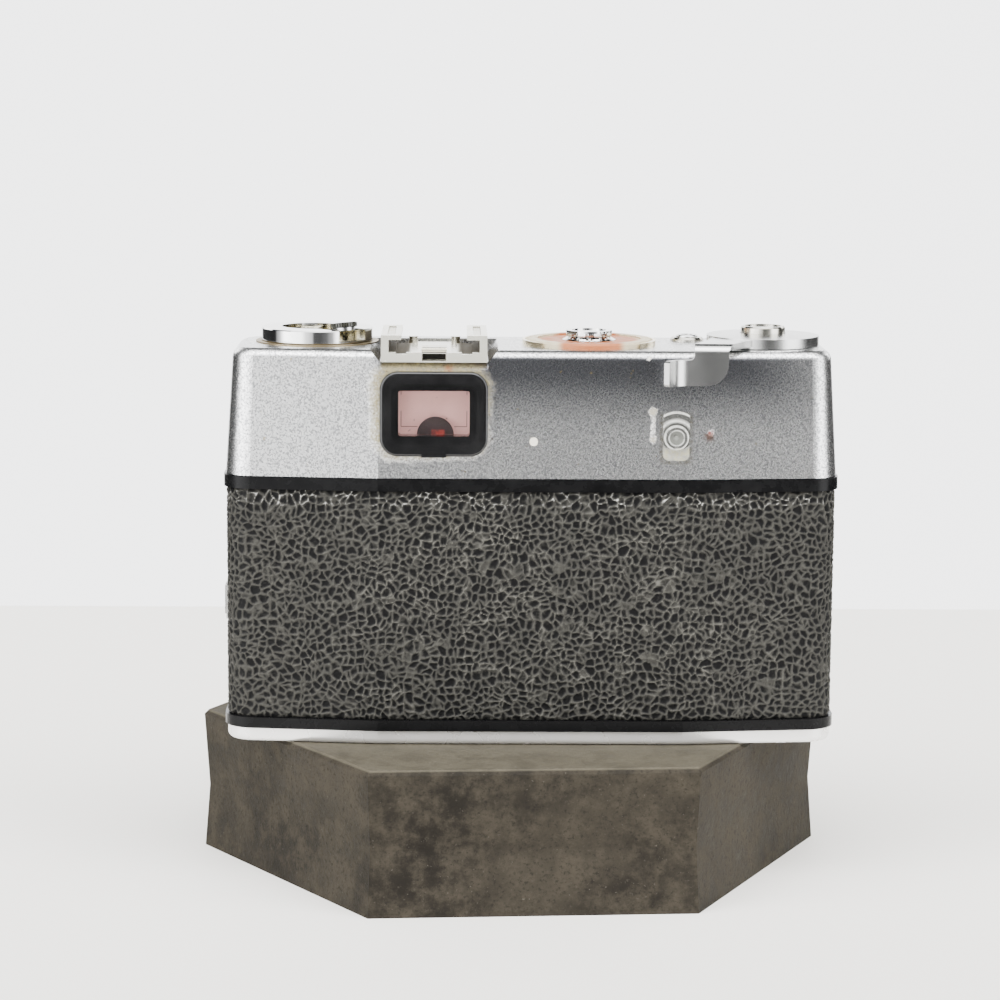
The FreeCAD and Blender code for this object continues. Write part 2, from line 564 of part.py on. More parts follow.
def rewind_knob():
    """Flat rewind knob; its recess for the folding crank runs out through the rim."""
    disc = upright(REWIND_X, REWIND_Y, REWIND_LOW, REWIND_TOP, REWIND_R)
    rim = [e for e in disc.Edges if len(e.Vertexes) == 1]
    disc = disc.makeChamfer(0.2, rim)
    slot = box(REWIND_X, REWIND_X + 13, REWIND_Y - 3.6, REWIND_Y + 3.6, REWIND_POCKET, 90)
    bowl = upright(REWIND_X - 1.5, REWIND_Y, REWIND_POCKET, 90, 6.5)
    shaft = upright(REWIND_X, REWIND_Y, 50.5, REWIND_LOW + 0.3, REWIND_SHAFT_R)
    ears = [box(CRANK_PIVOT_X - 0.7, CRANK_PIVOT_X + 0.7, y, y + 0.8, REWIND_POCKET - 0.1, 84.95)
            for y in (REWIND_Y - 3.2, REWIND_Y + 2.4)]
    solid = fuse(disc.cut([slot, bowl]), shaft, *ears).cut([
        Part.makeCylinder(0.3, 9.0, V(CRANK_PIVOT_X, REWIND_Y - 4.5, CRANK_PIVOT_Z), Y_AXIS),
        box(REWIND_X - 0.6, REWIND_X + 0.6, REWIND_Y - 3, REWIND_Y + 3, 50, 53.0)])
    return turn_crank(solid)


def turn_crank(shape):
    """Turns a piece drawn with the crank along +X round the knob's axis to the crank's own direction."""
    shape.rotate(V(REWIND_X, REWIND_Y, 0), Z_AXIS, CRANK_TURN)
    return shape


def tilt_crank(shape):
    """Turns a crank piece from flat in the knob's recess up to its rest angle, then to its direction."""
    shape.rotate(V(CRANK_PIVOT_X, REWIND_Y, CRANK_PIVOT_Z), Y_AXIS, -CRANK_REST_DEG)
    return turn_crank(shape)


def rewind_crank():
    """Folding crank arm, hinged between two ears in the knob's recess."""
    end_x, low, high = CRANK_PIVOT_X + CRANK_LENGTH, CRANK_PIVOT_Z - 0.3, CRANK_PIVOT_Z + 0.3
    arm = box(CRANK_PIVOT_X, end_x, REWIND_Y - 2.2, REWIND_Y + 2.2, low, high)
    boss = Part.makeCylinder(0.45, 4.4, V(CRANK_PIVOT_X, REWIND_Y - 2.2, CRANK_PIVOT_Z), Y_AXIS)
    end = upright(end_x, REWIND_Y, low, high, 2.2)
    solid = fuse(arm, boss, end)
    solid = solid.cut([Part.makeCylinder(0.3, 9, V(CRANK_PIVOT_X, REWIND_Y - 4.5, CRANK_PIVOT_Z), Y_AXIS),
                       upright(end_x, REWIND_Y, 83, 86, 0.6)])
    return tilt_crank(solid)


def crank_pin():
    return turn_crank(Part.makeCylinder(0.27, 6.3, V(CRANK_PIVOT_X, REWIND_Y - 3.15, CRANK_PIVOT_Z), Y_AXIS))


def crank_handle():
    """Round finger knob with a knurled edge that spins at the end of the crank."""
    x = CRANK_PIVOT_X + CRANK_LENGTH
    base = CRANK_PIVOT_Z + 0.35
    knob = toothed_disc(x, REWIND_Y, base + 0.12, base + 0.95, HANDLE_R, HANDLE_R - 0.18, 30)
    stem = upright(x, REWIND_Y, CRANK_PIVOT_Z - 0.25, base + 0.2, 0.55)
    faces = upright(x, REWIND_Y, base, base + 1.07, HANDLE_R - 0.25)
    return tilt_crank(fuse(knob, stem, faces))


# ---- exposure dial ----
def dial_plate():
    """Round scale plate under the serrated dial knob, its rim bevelled."""
    plate = upright(DIAL_X, DIAL_Y, COVER_TOP, COVER_TOP + 1.2, DIAL_R - 0.7)
    rim = [e for e in plate.Edges if len(e.Vertexes) == 1 and e.BoundBox.ZMin > COVER_TOP + 1.1]
    plate = plate.makeChamfer(0.4, rim)
    lowered = upright(DIAL_X, DIAL_Y, COVER_TOP + 0.9, 90, DIAL_R - 3.2)
    return plate.cut([lowered, upright(DIAL_X, DIAL_Y, 80, 90, SHAFT_R + FIT)])


def dial_bezel():
    """Two gilt arcs round the plate, open towards the back and the front."""
    ring = upright(DIAL_X, DIAL_Y, COVER_TOP, COVER_TOP + 1.0, DIAL_R)
    ring = ring.cut(upright(DIAL_X, DIAL_Y, 80, 90, DIAL_R - 0.65))
    half = (DIAL_R + 1) * math.cos(math.radians(48))
    return ring.cut(box(DIAL_X - half, DIAL_X + half, DIAL_Y - 20, DIAL_Y + 20, 80, 90))


def dial_knob():
    """Film-speed knob: a cap over a ring of paired notches, on a conical skirt."""
    base = COVER_TOP + 1.7
    points = []
    for i in range(9):
        for share, radius in ((0.0, 4.85), (0.45, 4.85), (0.5, 4.1), (0.62, 4.1), (0.67, 4.75), (0.78, 4.75),
                              (0.83, 4.1), (0.95, 4.1)):
            angle = 2 * math.pi * (i + share) / 9
            points.append(V(DIAL_X + radius * math.cos(angle), DIAL_Y + radius * math.sin(angle), base))
    notched = Part.Face(Part.makePolygon(points + points[:1])).extrude(V(0, 0, 0.85))
    cap = upright(DIAL_X, DIAL_Y, base + 0.8, base + 1.25, 4.9)
    skirt = Part.makeCone(5.6, 4.2, 0.8, V(DIAL_X, DIAL_Y, COVER_TOP + 0.95), Z_AXIS)
    stem = upright(DIAL_X, DIAL_Y, COVER_TOP - 1.5, COVER_TOP + 1.1, SHAFT_R)
    return fuse(notched, cap, skirt, stem).cut(upright(DIAL_X, DIAL_Y, base + 1.0, 90, 3.6))


# ---- shutter button and advance ----
def button_collar():
    collar = fuse(upright(BUTTON_X, BUTTON_Y, COVER_TOP, COVER_TOP + 0.8, BUTTON_R),
                  upright(BUTTON_X, BUTTON_Y, COVER_TOP - 2.5, COVER_TOP + 0.1, 2.95))
    rim = [e for e in collar.Edges if len(e.Vertexes) == 1 and e.BoundBox.ZMin > COVER_TOP + 0.7]
    return collar.makeChamfer(0.4, rim).cut(upright(BUTTON_X, BUTTON_Y, 70, 90, 2.3 + FIT))


def shutter_button():
    """Release button with a threaded socket for a cable release."""
    button = upright(BUTTON_X, BUTTON_Y, COVER_TOP - 5.0, COVER_TOP + 1.3, 2.3)
    rim = [e for e in button.Edges if len(e.Vertexes) == 1 and e.BoundBox.ZMin > COVER_TOP + 1.2]
    button = button.makeFillet(0.4, rim)
    return button.cut(Part.makeCone(1.0, 1.3, 4.0, V(BUTTON_X, BUTTON_Y, COVER_TOP - 2.6), Z_AXIS))


def button_spring():
    """Coil spring under the release button, drawn as stacked turns on one tube."""
    turns = [upright(BUTTON_X, BUTTON_Y, z, z + 0.5, 2.3) for z in (71.2, 72.6, 74.0, 75.4, 76.8)]
    sleeve = upright(BUTTON_X, BUTTON_Y, 71.2, 77.8, 1.9)
    return fuse(sleeve, *turns).cut(upright(BUTTON_X, BUTTON_Y, 70, 80, 1.6))


def thumb_strip():
    """The thumb tab: flat behind the cover, its tip curling outwards."""
    centre = V(CURL_X, THUMB_FACE - CURL_R, THUMB_LOW)

    def on_curl(radius, degrees):
        angle = math.radians(90 + degrees)
        return centre + V(radius * math.cos(angle), radius * math.sin(angle), 0)

    near, far = CURL_R, CURL_R + THUMB_BACK - THUMB_FACE
    end = math.radians(90 + CURL_DEG)
    reach = V(-math.sin(end), math.cos(end), 0) * CURL_TIP
    near_tip, far_tip = on_curl(near, CURL_DEG) + reach, on_curl(far, CURL_DEG) + reach
    wire = Part.Wire([
        Part.makeLine(V(THUMB_RIGHT, THUMB_FACE, THUMB_LOW), on_curl(near, 0)),
        Part.Arc(on_curl(near, 0), on_curl(near, CURL_DEG / 2), on_curl(near, CURL_DEG)).toShape(),
        Part.makeLine(on_curl(near, CURL_DEG), near_tip),
        Part.makeLine(near_tip, far_tip),
        Part.makeLine(far_tip, on_curl(far, CURL_DEG)),
        Part.Arc(on_curl(far, CURL_DEG), on_curl(far, CURL_DEG / 2), on_curl(far, 0)).toShape(),
        Part.makeLine(on_curl(far, 0), V(THUMB_RIGHT, THUMB_BACK, THUMB_LOW)),
        Part.makeLine(V(THUMB_RIGHT, THUMB_BACK, THUMB_LOW), V(THUMB_RIGHT, THUMB_FACE, THUMB_LOW))])
    strip = Part.Face(wire).extrude(V(0, 0, THUMB_HIGH - THUMB_LOW))
    corners = [e for e in strip.Edges if e.BoundBox.XMax < near_tip.x + 0.01 and e.BoundBox.ZLength < 0.01
               and e.BoundBox.XMin > far_tip.x - 0.01 and e.BoundBox.XLength > 0.9]
    return strip.makeFillet(0.7, corners)


def advance_lever():
    """Film advance lever: domed hub, flat arm and a thumb tab folded down behind the cover."""
    outline = [(38.5, 15.0), (36.3, 6.3), (34.3, 1.2), (THUMB_LEFT, -1.6), (THUMB_LEFT, THUMB_FACE),
               (THUMB_RIGHT, THUMB_FACE), (40.6, -2.2), (43.2, 2.4), (46.2, 6.4), (LEVER_X + 1, LEVER_Y)]
    plane = Part.makePolygon([V(x, y, ARM_LOW) for x, y in outline + outline[:1]])
    arm = Part.Face(plane).extrude(V(0, 0, ARM_TOP - ARM_LOW))
    hub = upright(LEVER_X, LEVER_Y, LEVER_LOW, LEVER_TOP, LEVER_R)
    dome = Part.makeCone(LEVER_R - 0.2, 4.9, 0.4, V(LEVER_X, LEVER_Y, LEVER_TOP), Z_AXIS)
    neck = box(THUMB_LEFT, THUMB_RIGHT, THUMB_FACE, THUMB_BACK, THUMB_LOW, ARM_TOP)
    thumb = neck.fuse(thumb_strip()).removeSplitter()
    heel = [e for e in thumb.Edges if e.BoundBox.XMin > THUMB_RIGHT - 0.01 and e.BoundBox.ZMax < THUMB_LOW + 0.01]
    thumb = thumb.makeFillet(4.4, heel)
    crook = [e for e in thumb.Edges if e.BoundBox.XLength < 0.01 and e.BoundBox.ZLength < 0.01
             and abs(e.BoundBox.XMin - THUMB_LEFT) < 0.01 and abs(e.BoundBox.ZMin - THUMB_HIGH) < 0.01]
    thumb = thumb.makeFillet(1.0, crook)
    web = box(THUMB_LEFT + 0.4, THUMB_RIGHT, THUMB_BACK, THUMB_BACK + 0.7, ARM_LOW - 0.7, ARM_LOW)
    web = web.cut(Part.makeCylinder(0.7, 9, V(THUMB_LEFT, THUMB_BACK + 0.7, ARM_LOW - 0.7), X_AXIS))
    corner = box(30, 43, THUMB_FACE - 1, THUMB_FACE + FOLD_R, ARM_TOP - FOLD_R, ARM_TOP + 1)
    corner = corner.cut(Part.makeCylinder(FOLD_R, 15, V(29, THUMB_FACE + FOLD_R, ARM_TOP - FOLD_R), X_AXIS))
    solid = fuse(hub, dome, fuse(arm, thumb, web).cut(corner))
    return solid.cut([upright(LEVER_X, LEVER_Y, 80, 90, COUNTER_POST_R + FIT),
                      upright(LEVER_X, LEVER_Y, LEVER_TOP, 90, 4.85)])


def counter_bezel():
    """Fixed spindle and bezel in the middle of the lever, round the frame counter's window."""
    stem = upright(LEVER_X, LEVER_Y, 80.6, LEVER_TOP + 0.3, COUNTER_POST_R)
    foot = upright(LEVER_X, LEVER_Y, 80.6, COVER_TOP - COVER_WALL - 0.02, 5.0)
    ring = upright(LEVER_X, LEVER_Y, LEVER_TOP + 0.1, LEVER_TOP + 1.9, 4.7)
    rim = [e for e in ring.Edges if len(e.Vertexes) == 1 and e.BoundBox.ZMin > LEVER_TOP + 1.8]
    ring = ring.makeChamfer(0.3, rim)
    return fuse(stem, foot, ring).cut(upright(LEVER_X, LEVER_Y, LEVER_TOP + 0.5, 90, 3.8))


def counter_window():
    return upright(LEVER_X, LEVER_Y, LEVER_TOP + 1.2, LEVER_TOP + 1.6, 3.78)


def frame_counter():
    """Counter disc that steps round under its window, with raised tick marks."""
    disc = upright(LEVER_X, LEVER_Y, LEVER_TOP + 0.55, LEVER_TOP + 0.85, 3.7)
    ticks = []
    for i in range(12):
        tick = box(2.3, 3.4, -0.11, 0.11, LEVER_TOP + 0.8, LEVER_TOP + 0.95)
        tick.rotate(V(0, 0, 0), Z_AXIS, 30 * i)
        tick.translate(V(LEVER_X, LEVER_Y, 0))
        ticks.append(tick)
    return fuse(disc, *ticks)


def sprocket():
    """Film sprocket: a shaft with two rows of eight teeth."""
    shaft = upright(SPROCKET_X, SPROCKET_Y, BASE_TOP + 0.6, COVER_LOW + 4, SHAFT_R)
    drum = upright(SPROCKET_X, SPROCKET_Y, 12.0, 47.0, 4.2)
    rows = [toothed_disc(SPROCKET_X, SPROCKET_Y, z, z + 1.2, 5.2, 4.0, 8) for z in (14.6, 43.2)]
    return fuse(shaft, drum, *rows)


def takeup_spool():
    """Slotted take-up spool on its shaft."""
    shaft = upright(SPOOL_X, SPOOL_Y, BASE_TOP + 0.6, COVER_LOW + 4, SHAFT_R)
    drum = upright(SPOOL_X, SPOOL_Y, 6.5, 52.5, SPOOL_R)
    flange = upright(SPOOL_X, SPOOL_Y, 5.0, 6.6, 10.5)
    slots = []
    for angle in range(0, 360, 60):
        slot = box(SPOOL_R - 1.5, SPOOL_R + 1, -0.5, 0.5, 11.0, 48.0)
        slot.rotate(V(0, 0, 0), Z_AXIS, angle)
        slot.translate(V(SPOOL_X, SPOOL_Y, 0))
        slots.append(slot)
    return fuse(shaft, drum, flange).cut(slots)


# ---- lens ----
def lens_barrel():
    """Fixed core of the lens and leaf shutter, which the control rings turn on."""
    core = lens_tube(26.5, 50.0, 17.0, 14.9)
    flange = lens_tube(DEPTH - 0.5, DEPTH + 0.9, FLANGE_R, 16.9)
    shutter_case = lens_tube(DEPTH + 0.8, 49.6, 19.0, 16.9)
    middle_seat = lens_tube(39.4, 42.2, 14.95, 12.05)
    return fuse(core, flange, shutter_case, middle_seat)


def focus_ring():
    """Distance ring with a finger tab."""
    ring = knurled_ring(35.2, 40.8, 23.8, 19.0 + FIT, 60)
    tab = box(LENS_X - 3.0, LENS_X + 3.0, 36.0, 40.0, LENS_Z - 27.0, LENS_Z - 22.0)
    tab = tab.cut(along_y(LENS_X, LENS_Z, 30, 50, 19.0 + FIT))
    return fuse(ring, tab)


def aperture_ring():
    return knurled_ring(41.0, 44.6, 23.2, 19.0 + FIT, 72)


def speed_ring():
    return knurled_ring(44.8, 48.4, 22.6, 19.0 + FIT, 48, 0.5)


def filter_ring():
    """Front rim of the lens, bored at the filter thread's major radius down to a shoulder."""
    return lens_tube(49.7, FILTER_FRONT_Y, 21.6, 17.4).cut([
        along_y(LENS_X, LENS_Z, 51.0, 60, FILTER_R - 0.9),
        along_y(LENS_X, LENS_Z, FILTER_FRONT_Y - FILTER_DEPTH, 60, FILTER_R)])


def front_cell():
    """Moving cell that carries the front element, with a stepped black face."""
    tube = lens_tube(44.0, 53.2, 14.9 - FIT, 13.0)
    face = lens_tube(51.3, 53.2, 17.0, 13.0)
    funnel = lens_cone(51.6, 53.6, 13.0, 15.6)
    return fuse(tube, face).cut(funnel)


def spherical_cap(y, radius, sag, side):
    """The solid between the plane at y and a spherical face bulging towards side."""
    ball_r = (radius ** 2 + sag ** 2) / (2 * sag)
    ball = Part.makeSphere(ball_r, V(LENS_X, y + side * (sag - ball_r), LENS_Z))
    reach = sorted((y, y + side * (sag + 1)))
    return ball.common(along_y(LENS_X, LENS_Z, reach[0], reach[1], radius + 1))


def lens_element(y_mid, radius, centre, sag_front, sag_back):
    """A round glass: a plain rim with a spherical cap on each side, or hollow where the sag is below zero."""
    y0, y1 = y_mid - centre / 2, y_mid + centre / 2
    glass = along_y(LENS_X, LENS_Z, y0, y1, radius)
    for y, sag, side in ((y1, sag_front, 1), (y0, sag_back, -1)):
        if sag > 0:
            glass = glass.fuse(spherical_cap(y, radius, sag, side))
        else:
            glass = glass.cut(spherical_cap(y, radius, -sag, -side))
    return glass.removeSplitter()


def front_element():
    return lens_element(49.6, 12.95, 2.4, 2.0, 0.3)


def middle_element():
    return lens_element(40.8, 12.0, 2.0, 0.5, -0.6)


def rear_element():
    return lens_element(29.6, 9.5, 2.4, 0.4, 1.2)


def rear_cell():
    """Holder of the rear element, with its baffle."""
    return lens_tube(27.4, 33.0, 14.85, 9.55).cut(lens_cone(31.0, 33.1, 9.5, 13.0))


def leaf_fan(y, thick, opening, leaves, sweep):
    """A ring of overlapping leaves that leaves a polygonal opening; drawn as one layer per leaf."""
    fan = []
    for i in range(leaves):
        leaf = along_y(0, 0, 0, thick, 14.85).cut(box(-20, 20, -1, 1, -20, opening))
        leaf = leaf.common(box(-sweep, sweep, -1, 1, -20, 20))
        leaf.rotate(V(0, 0, 0), Y_AXIS, 360.0 * i / leaves)
        leaf.translate(V(LENS_X, y + i * (thick + 0.02), LENS_Z))
        fan.append(leaf)
    return Part.makeCompound(fan)


def aperture_blades():
    return leaf_fan(37.6, 0.12, 5.0, 6, 9.0)


def shutter_blades():
    """Closed leaf shutter."""
    return leaf_fan(35.6, 0.12, -0.5, 4, 10.0)


def self_timer_lever():
    """Self-timer arm on the front of the camera, hanging down from its slotted boss."""
    face = DEPTH + 0.3
    boss = along_y(SELF_TIMER_X, SELF_TIMER_Z, face, face + 3.0, 3.8)
    shaft = along_y(SELF_TIMER_X, SELF_TIMER_Z, DEPTH - 3.5, face + 0.1, 1.2)
    arm = centred_box(SELF_TIMER_X, face + 0.9, face + 2.4, SELF_TIMER_Z - 8.0, 3.6, 16.0)
    tip = along_y(SELF_TIMER_X, SELF_TIMER_Z - 16.0, face + 0.9, face + 2.4, 2.4)
    slot = centred_box(SELF_TIMER_X, face + 2.6, face + 4, SELF_TIMER_Z, 4.0, 0.6)
    return fuse(boss, shaft, arm, tip).cut(slot)


CAMERA_PIECES = [
    body_casting, base_plate, case_screws, tripod_socket, rewind_button, back_door, back_leather, hinge_pin,
    pressure_plate, pressure_springs, back_latch, front_leather, top_cover, eyepiece_frame, eyepiece_lens,
    finder_mask, beam_splitter, finder_block, front_window_frame, front_windows, sync_socket,
    sync_insulator, sync_pin, adjuster_cap, accessory_shoe, shoe_spring, shoe_screws, rewind_seat,
    rewind_collar, rewind_knob, rewind_crank, crank_pin, crank_handle, dial_plate, dial_bezel, dial_knob,
    button_collar, shutter_button, button_spring, advance_lever, counter_bezel, counter_window,
    frame_counter, sprocket, takeup_spool, lens_barrel, focus_ring, aperture_ring, speed_ring, filter_ring,
    front_cell, front_element, middle_element, rear_element, rear_cell, aperture_blades, shutter_blades,
    self_timer_lever,
]


def build():
    """Every node's shape in the row frame."""
    shapes = {"display_block": display_block()}
    for piece in CAMERA_PIECES:
        shape = piece()
        shape.translate(CAMERA_ON_BLOCK)
        shapes[piece.__name__] = shape
    return shapes


def write(shapes):
    os.makedirs("parts", exist_ok=True)
    for name, shape in shapes.items():
        shape.exportStep(f"parts/{name}.step")
        state = "ok" if shape.isValid() else "INVALID"
        print(f"{name:20s} {state} solids {len(shape.Solids)} volume {shape.Volume / 1000:.3f} cm3")


if __name__ == "__main__":
    write(build())
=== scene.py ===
"""Looks for a fixed-lens film camera, seen from the back, on a hexagonal block."""
import math

import bpy
import numpy as np
from mathutils import Matrix, Vector

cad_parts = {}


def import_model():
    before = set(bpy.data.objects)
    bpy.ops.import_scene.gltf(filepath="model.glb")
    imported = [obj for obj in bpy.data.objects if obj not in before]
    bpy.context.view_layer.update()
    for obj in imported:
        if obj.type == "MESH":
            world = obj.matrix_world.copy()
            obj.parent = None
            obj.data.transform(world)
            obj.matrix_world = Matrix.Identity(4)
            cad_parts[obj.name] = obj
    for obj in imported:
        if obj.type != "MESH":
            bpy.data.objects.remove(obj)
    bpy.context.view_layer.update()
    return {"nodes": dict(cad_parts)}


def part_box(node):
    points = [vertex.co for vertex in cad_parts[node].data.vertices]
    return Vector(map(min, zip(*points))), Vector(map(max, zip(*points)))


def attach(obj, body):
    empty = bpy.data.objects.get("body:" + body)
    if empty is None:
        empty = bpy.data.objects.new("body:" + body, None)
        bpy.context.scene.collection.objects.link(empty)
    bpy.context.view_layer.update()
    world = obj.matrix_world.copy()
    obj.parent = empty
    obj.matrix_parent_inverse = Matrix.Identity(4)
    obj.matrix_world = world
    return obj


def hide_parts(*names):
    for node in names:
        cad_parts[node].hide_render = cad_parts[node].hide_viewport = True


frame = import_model()
NODES = frame["nodes"]

MM = 0.001
PLATE_LOW, PLATE_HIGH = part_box("base_plate")
# the camera's own origin, the middle of the rear edge of its underside: X goes right, Y towards the lens
HOME = Vector(((PLATE_LOW[0] + PLATE_HIGH[0]) / 2, PLATE_LOW[1] - 0.1 * MM, PLATE_LOW[2]))

# places on the camera, in millimetres from its own origin
EYEPIECE = (-20.45, 0.0, 69.95)
SHOE_X = -20.45
FLASH_SOCKET = (29.7, 0.0, 65.3)
DIAL = (12.15, 17.2, 84.1)
REWIND_KNOB = (-45.3, 20.0, 84.6)
ZERO = (0.0, 0.0, 0.0)


def at(x, y, z):
    """A point given in millimetres from the camera's own origin."""
    return HOME + Vector((x, y, z)) * MM


# ---------------------------------------------------------------- materials
class Look:
    """A principled material with short helpers for its nodes. Lengths in its textures are millimetres."""

    def __init__(self, name, colour=(0.5, 0.5, 0.5), metallic=0.0, roughness=0.5, **sockets):
        self.mat = bpy.data.materials.new(name)
        self.mat.use_nodes = True
        self.tree = self.mat.node_tree
        self.bsdf = self.tree.nodes["Principled BSDF"]
        self.set("Base Color", (*colour, 1.0))
        self.set("Metallic", metallic)
        self.set("Roughness", roughness)
        for socket, value in sockets.items():
            self.set(socket.replace("_", " "), value)
        coords = self.tree.nodes.new("ShaderNodeTexCoord")
        self.mm = self.vector("MULTIPLY", coords.outputs["Object"], (1 / MM, 1 / MM, 1 / MM))

    def set(self, socket, value):
        self.bsdf.inputs[socket].default_value = value

    def link(self, value, socket):
        """Feeds a socket from another node's output, or sets it to a plain value."""
        if hasattr(value, "is_output"):
            self.tree.links.new(value, socket)
        else:
            socket.default_value = value

    def out(self, value, socket):
        """Feeds one of the shader's own sockets."""
        self.link(value, self.bsdf.inputs[socket])
        return self

    def vector(self, operation, a, b=ZERO):
        node = self.tree.nodes.new("ShaderNodeVectorMath")
        node.operation = operation
        self.link(a, node.inputs[0])
        self.link(b, node.inputs[1])
        return node.outputs["Value" if operation in ("DISTANCE", "LENGTH", "DOT_PRODUCT") else "Vector"]

    def calc(self, operation, a, b=0.0):
        node = self.tree.nodes.new("ShaderNodeMath")
        node.operation = operation
        self.link(a, node.inputs[0])
        self.link(b, node.inputs[1])
        return node.outputs[0]

    def times(self, first, *others):
        """The product of several values."""
        for other in others:
            first = self.calc("MULTIPLY", first, other)
        return first

    def most(self, first, *others):
        """The largest of several values."""
        for other in others:
            first = self.calc("MAXIMUM", first, other)
        return first

    def noise(self, scale, detail=2.0, rough=0.5, stretch=None, offset=0.0):
        """Noise whose scale is cycles per millimetre."""
        where = self.mm
        if stretch:
            where = self.vector("MULTIPLY", where, stretch)
        if offset:
            where = self.vector("ADD", where, (offset, offset, offset))
        node = self.tree.nodes.new("ShaderNodeTexNoise")
        self.link(where, node.inputs["Vector"])
        node.inputs["Scale"].default_value = scale
        node.inputs["Detail"].default_value = detail
        node.inputs["Roughness"].default_value = rough
        return node.outputs["Fac"]

    def step(self, value, low, high, out_low=0.0, out_high=1.0):
        """value carried smoothly from low..high to out_low..out_high."""
        node = self.tree.nodes.new("ShaderNodeMapRange")
        node.interpolation_type = "SMOOTHSTEP"
        for socket, number in zip(("Value", "From Min", "From Max", "To Min", "To Max"),
                                  (value, low, high, out_low, out_high)):
            self.link(number, node.inputs[socket])
        return node.outputs["Result"]

    def mix(self, fac, a, b):
        """Colour a where fac is 0 and colour b where it is 1."""
        node = self.tree.nodes.new("ShaderNodeMix")
        node.data_type = "RGBA"
        self.link(fac, node.inputs["Factor"])
        for value, name in ((a, "A"), (b, "B")):
            socket = [s for s in node.inputs if s.name == name and s.type == "RGBA"][0]
            self.link((*value, 1.0) if isinstance(value, tuple) and len(value) == 3 else value, socket)
        return [s for s in node.outputs if s.type == "RGBA"][0]

    def bump(self, height, depth, under=None):
        """Bump of a height field; depth is its full height in millimetres."""
        node = self.tree.nodes.new("ShaderNodeBump")
        node.inputs["Strength"].default_value = 1.0
        node.inputs["Distance"].default_value = depth * MM
        self.link(height, node.inputs["Height"])
        if under is not None:
            self.link(under, node.inputs["Normal"])
        return node.outputs["Normal"]

    def attribute(self, name):
        """A number that the mesh stores at each of its points."""
        node = self.tree.nodes.new("ShaderNodeAttribute")
        node.attribute_name = name
        return node.outputs["Fac"]

    def place(self, axis):
        """Position along one axis in camera millimetres."""
        node = self.tree.nodes.new("ShaderNodeSeparateXYZ")
        self.link(self.vector("SUBTRACT", self.mm, tuple(HOME / MM)), node.inputs[0])
        return node.outputs[axis]

    def near(self, x, y, z, radius, soft, ragged=0.0):
        """1 inside a ball round a point given in camera millimetres, falling to 0 outside it."""
        reach = self.vector("DISTANCE", self.mm, tuple(at(x, y, z) / MM))
        if ragged:
            reach = self.calc("ADD", reach, self.times(self.noise(1.6, 3.0), ragged))
        return self.step(reach, radius, radius + soft, 1.0, 0.0)

    def within(self, axis, low, high, soft):
        """1 between low and high along an axis, falling to 0 over soft on both sides."""
        where = self.place(axis)
        return self.times(self.step(where, low - soft, low), self.step(where, high, high + soft, 1.0, 0.0))

    def cover_with(self, amount, colour, roughness=0.8):
        """Lays a dull, non-metallic film of the given colour over what the material already has."""
        for socket, value in (("Base Color", colour), ("Roughness", (roughness,) * 3), ("Metallic", ZERO)):
            links = self.bsdf.inputs[socket].links
            under = links[0].from_socket if links else (self.bsdf.inputs[socket].default_value,) * 3
            self.out(self.mix(amount, under, value), socket)

    def blend_over(self, base, pairs):
        """Lays one colour after another over the base, each by its own mask."""
        for fac, colour in pairs:
            base = self.mix(fac, base, colour)
        return base


def metal(name, colour, roughness, grain=3.5, grain_depth=0.004, mottle=0.08, scratch=0.0, dirt=None,
          dirt_amount=0.0, streak=None, metallic=1.0):
    """Metal with a fine satin grain, slow changes of tone, and optional scratches and dirt."""
    look = Look(name, colour, metallic, roughness)
    slow = look.noise(0.12, 3.0)
    dark = tuple(c * (1 - 2.2 * mottle) for c in colour)
    light = tuple(min(1.0, c * (1 + mottle)) for c in colour)
    base = look.mix(slow, dark, light)
    rough = look.step(slow, 0.25, 0.75, roughness * 0.85, roughness * 1.15)
    if streak:
        lines = look.noise(1.0, 2.0, 0.6, stretch=streak)
        rough = look.calc("ADD", rough, look.step(lines, 0.35, 0.75, -0.06, 0.09))
    if dirt:
        spots = look.noise(0.55, 5.0, 0.62, offset=7.0)
        amount = look.step(spots, 0.72 - 0.3 * dirt_amount, 0.80, 0.0, 0.9)
        base = look.mix(amount, base, dirt)
        rough = look.mix(amount, rough, (0.75, 0.75, 0.75))
        look.out(look.times(look.calc("SUBTRACT", 1.0, amount), metallic), "Metallic")
    normal = look.bump(look.noise(grain, 2.0, 0.6), grain_depth)
    if scratch:
        marks = look.noise(0.7, 1.0, 0.4, stretch=(6.0, 0.5, 0.5), offset=3.0)
        normal = look.bump(look.step(marks, 0.70, 0.74), scratch, normal)
    look.out(base, "Base Color").out(rough, "Roughness").out(normal, "Normal")
    return look


def plastic(name, colour, roughness, dust=(0.25, 0.23, 0.2), dust_amount=0.25, **sockets):
    """Moulded or painted black: even, with faint orange peel, smears and dust."""
    look = Look(name, colour, 0.0, roughness, **sockets)
    smear = look.noise(0.25, 4.0, 0.6)
    specks = look.noise(2.2, 3.0, 0.7, offset=11.0)
    amount = look.times(look.step(specks, 0.60, 0.75), dust_amount)
    base = look.mix(amount, look.mix(smear, colour, tuple(c * 1.5 + 0.004 for c in colour)), dust)
    look.out(base, "Base Color")
    look.out(look.step(smear, 0.3, 0.8, roughness * 0.75, roughness * 1.5), "Roughness")
    look.out(look.bump(look.noise(2.5, 2.0), 0.004), "Normal")
    return look


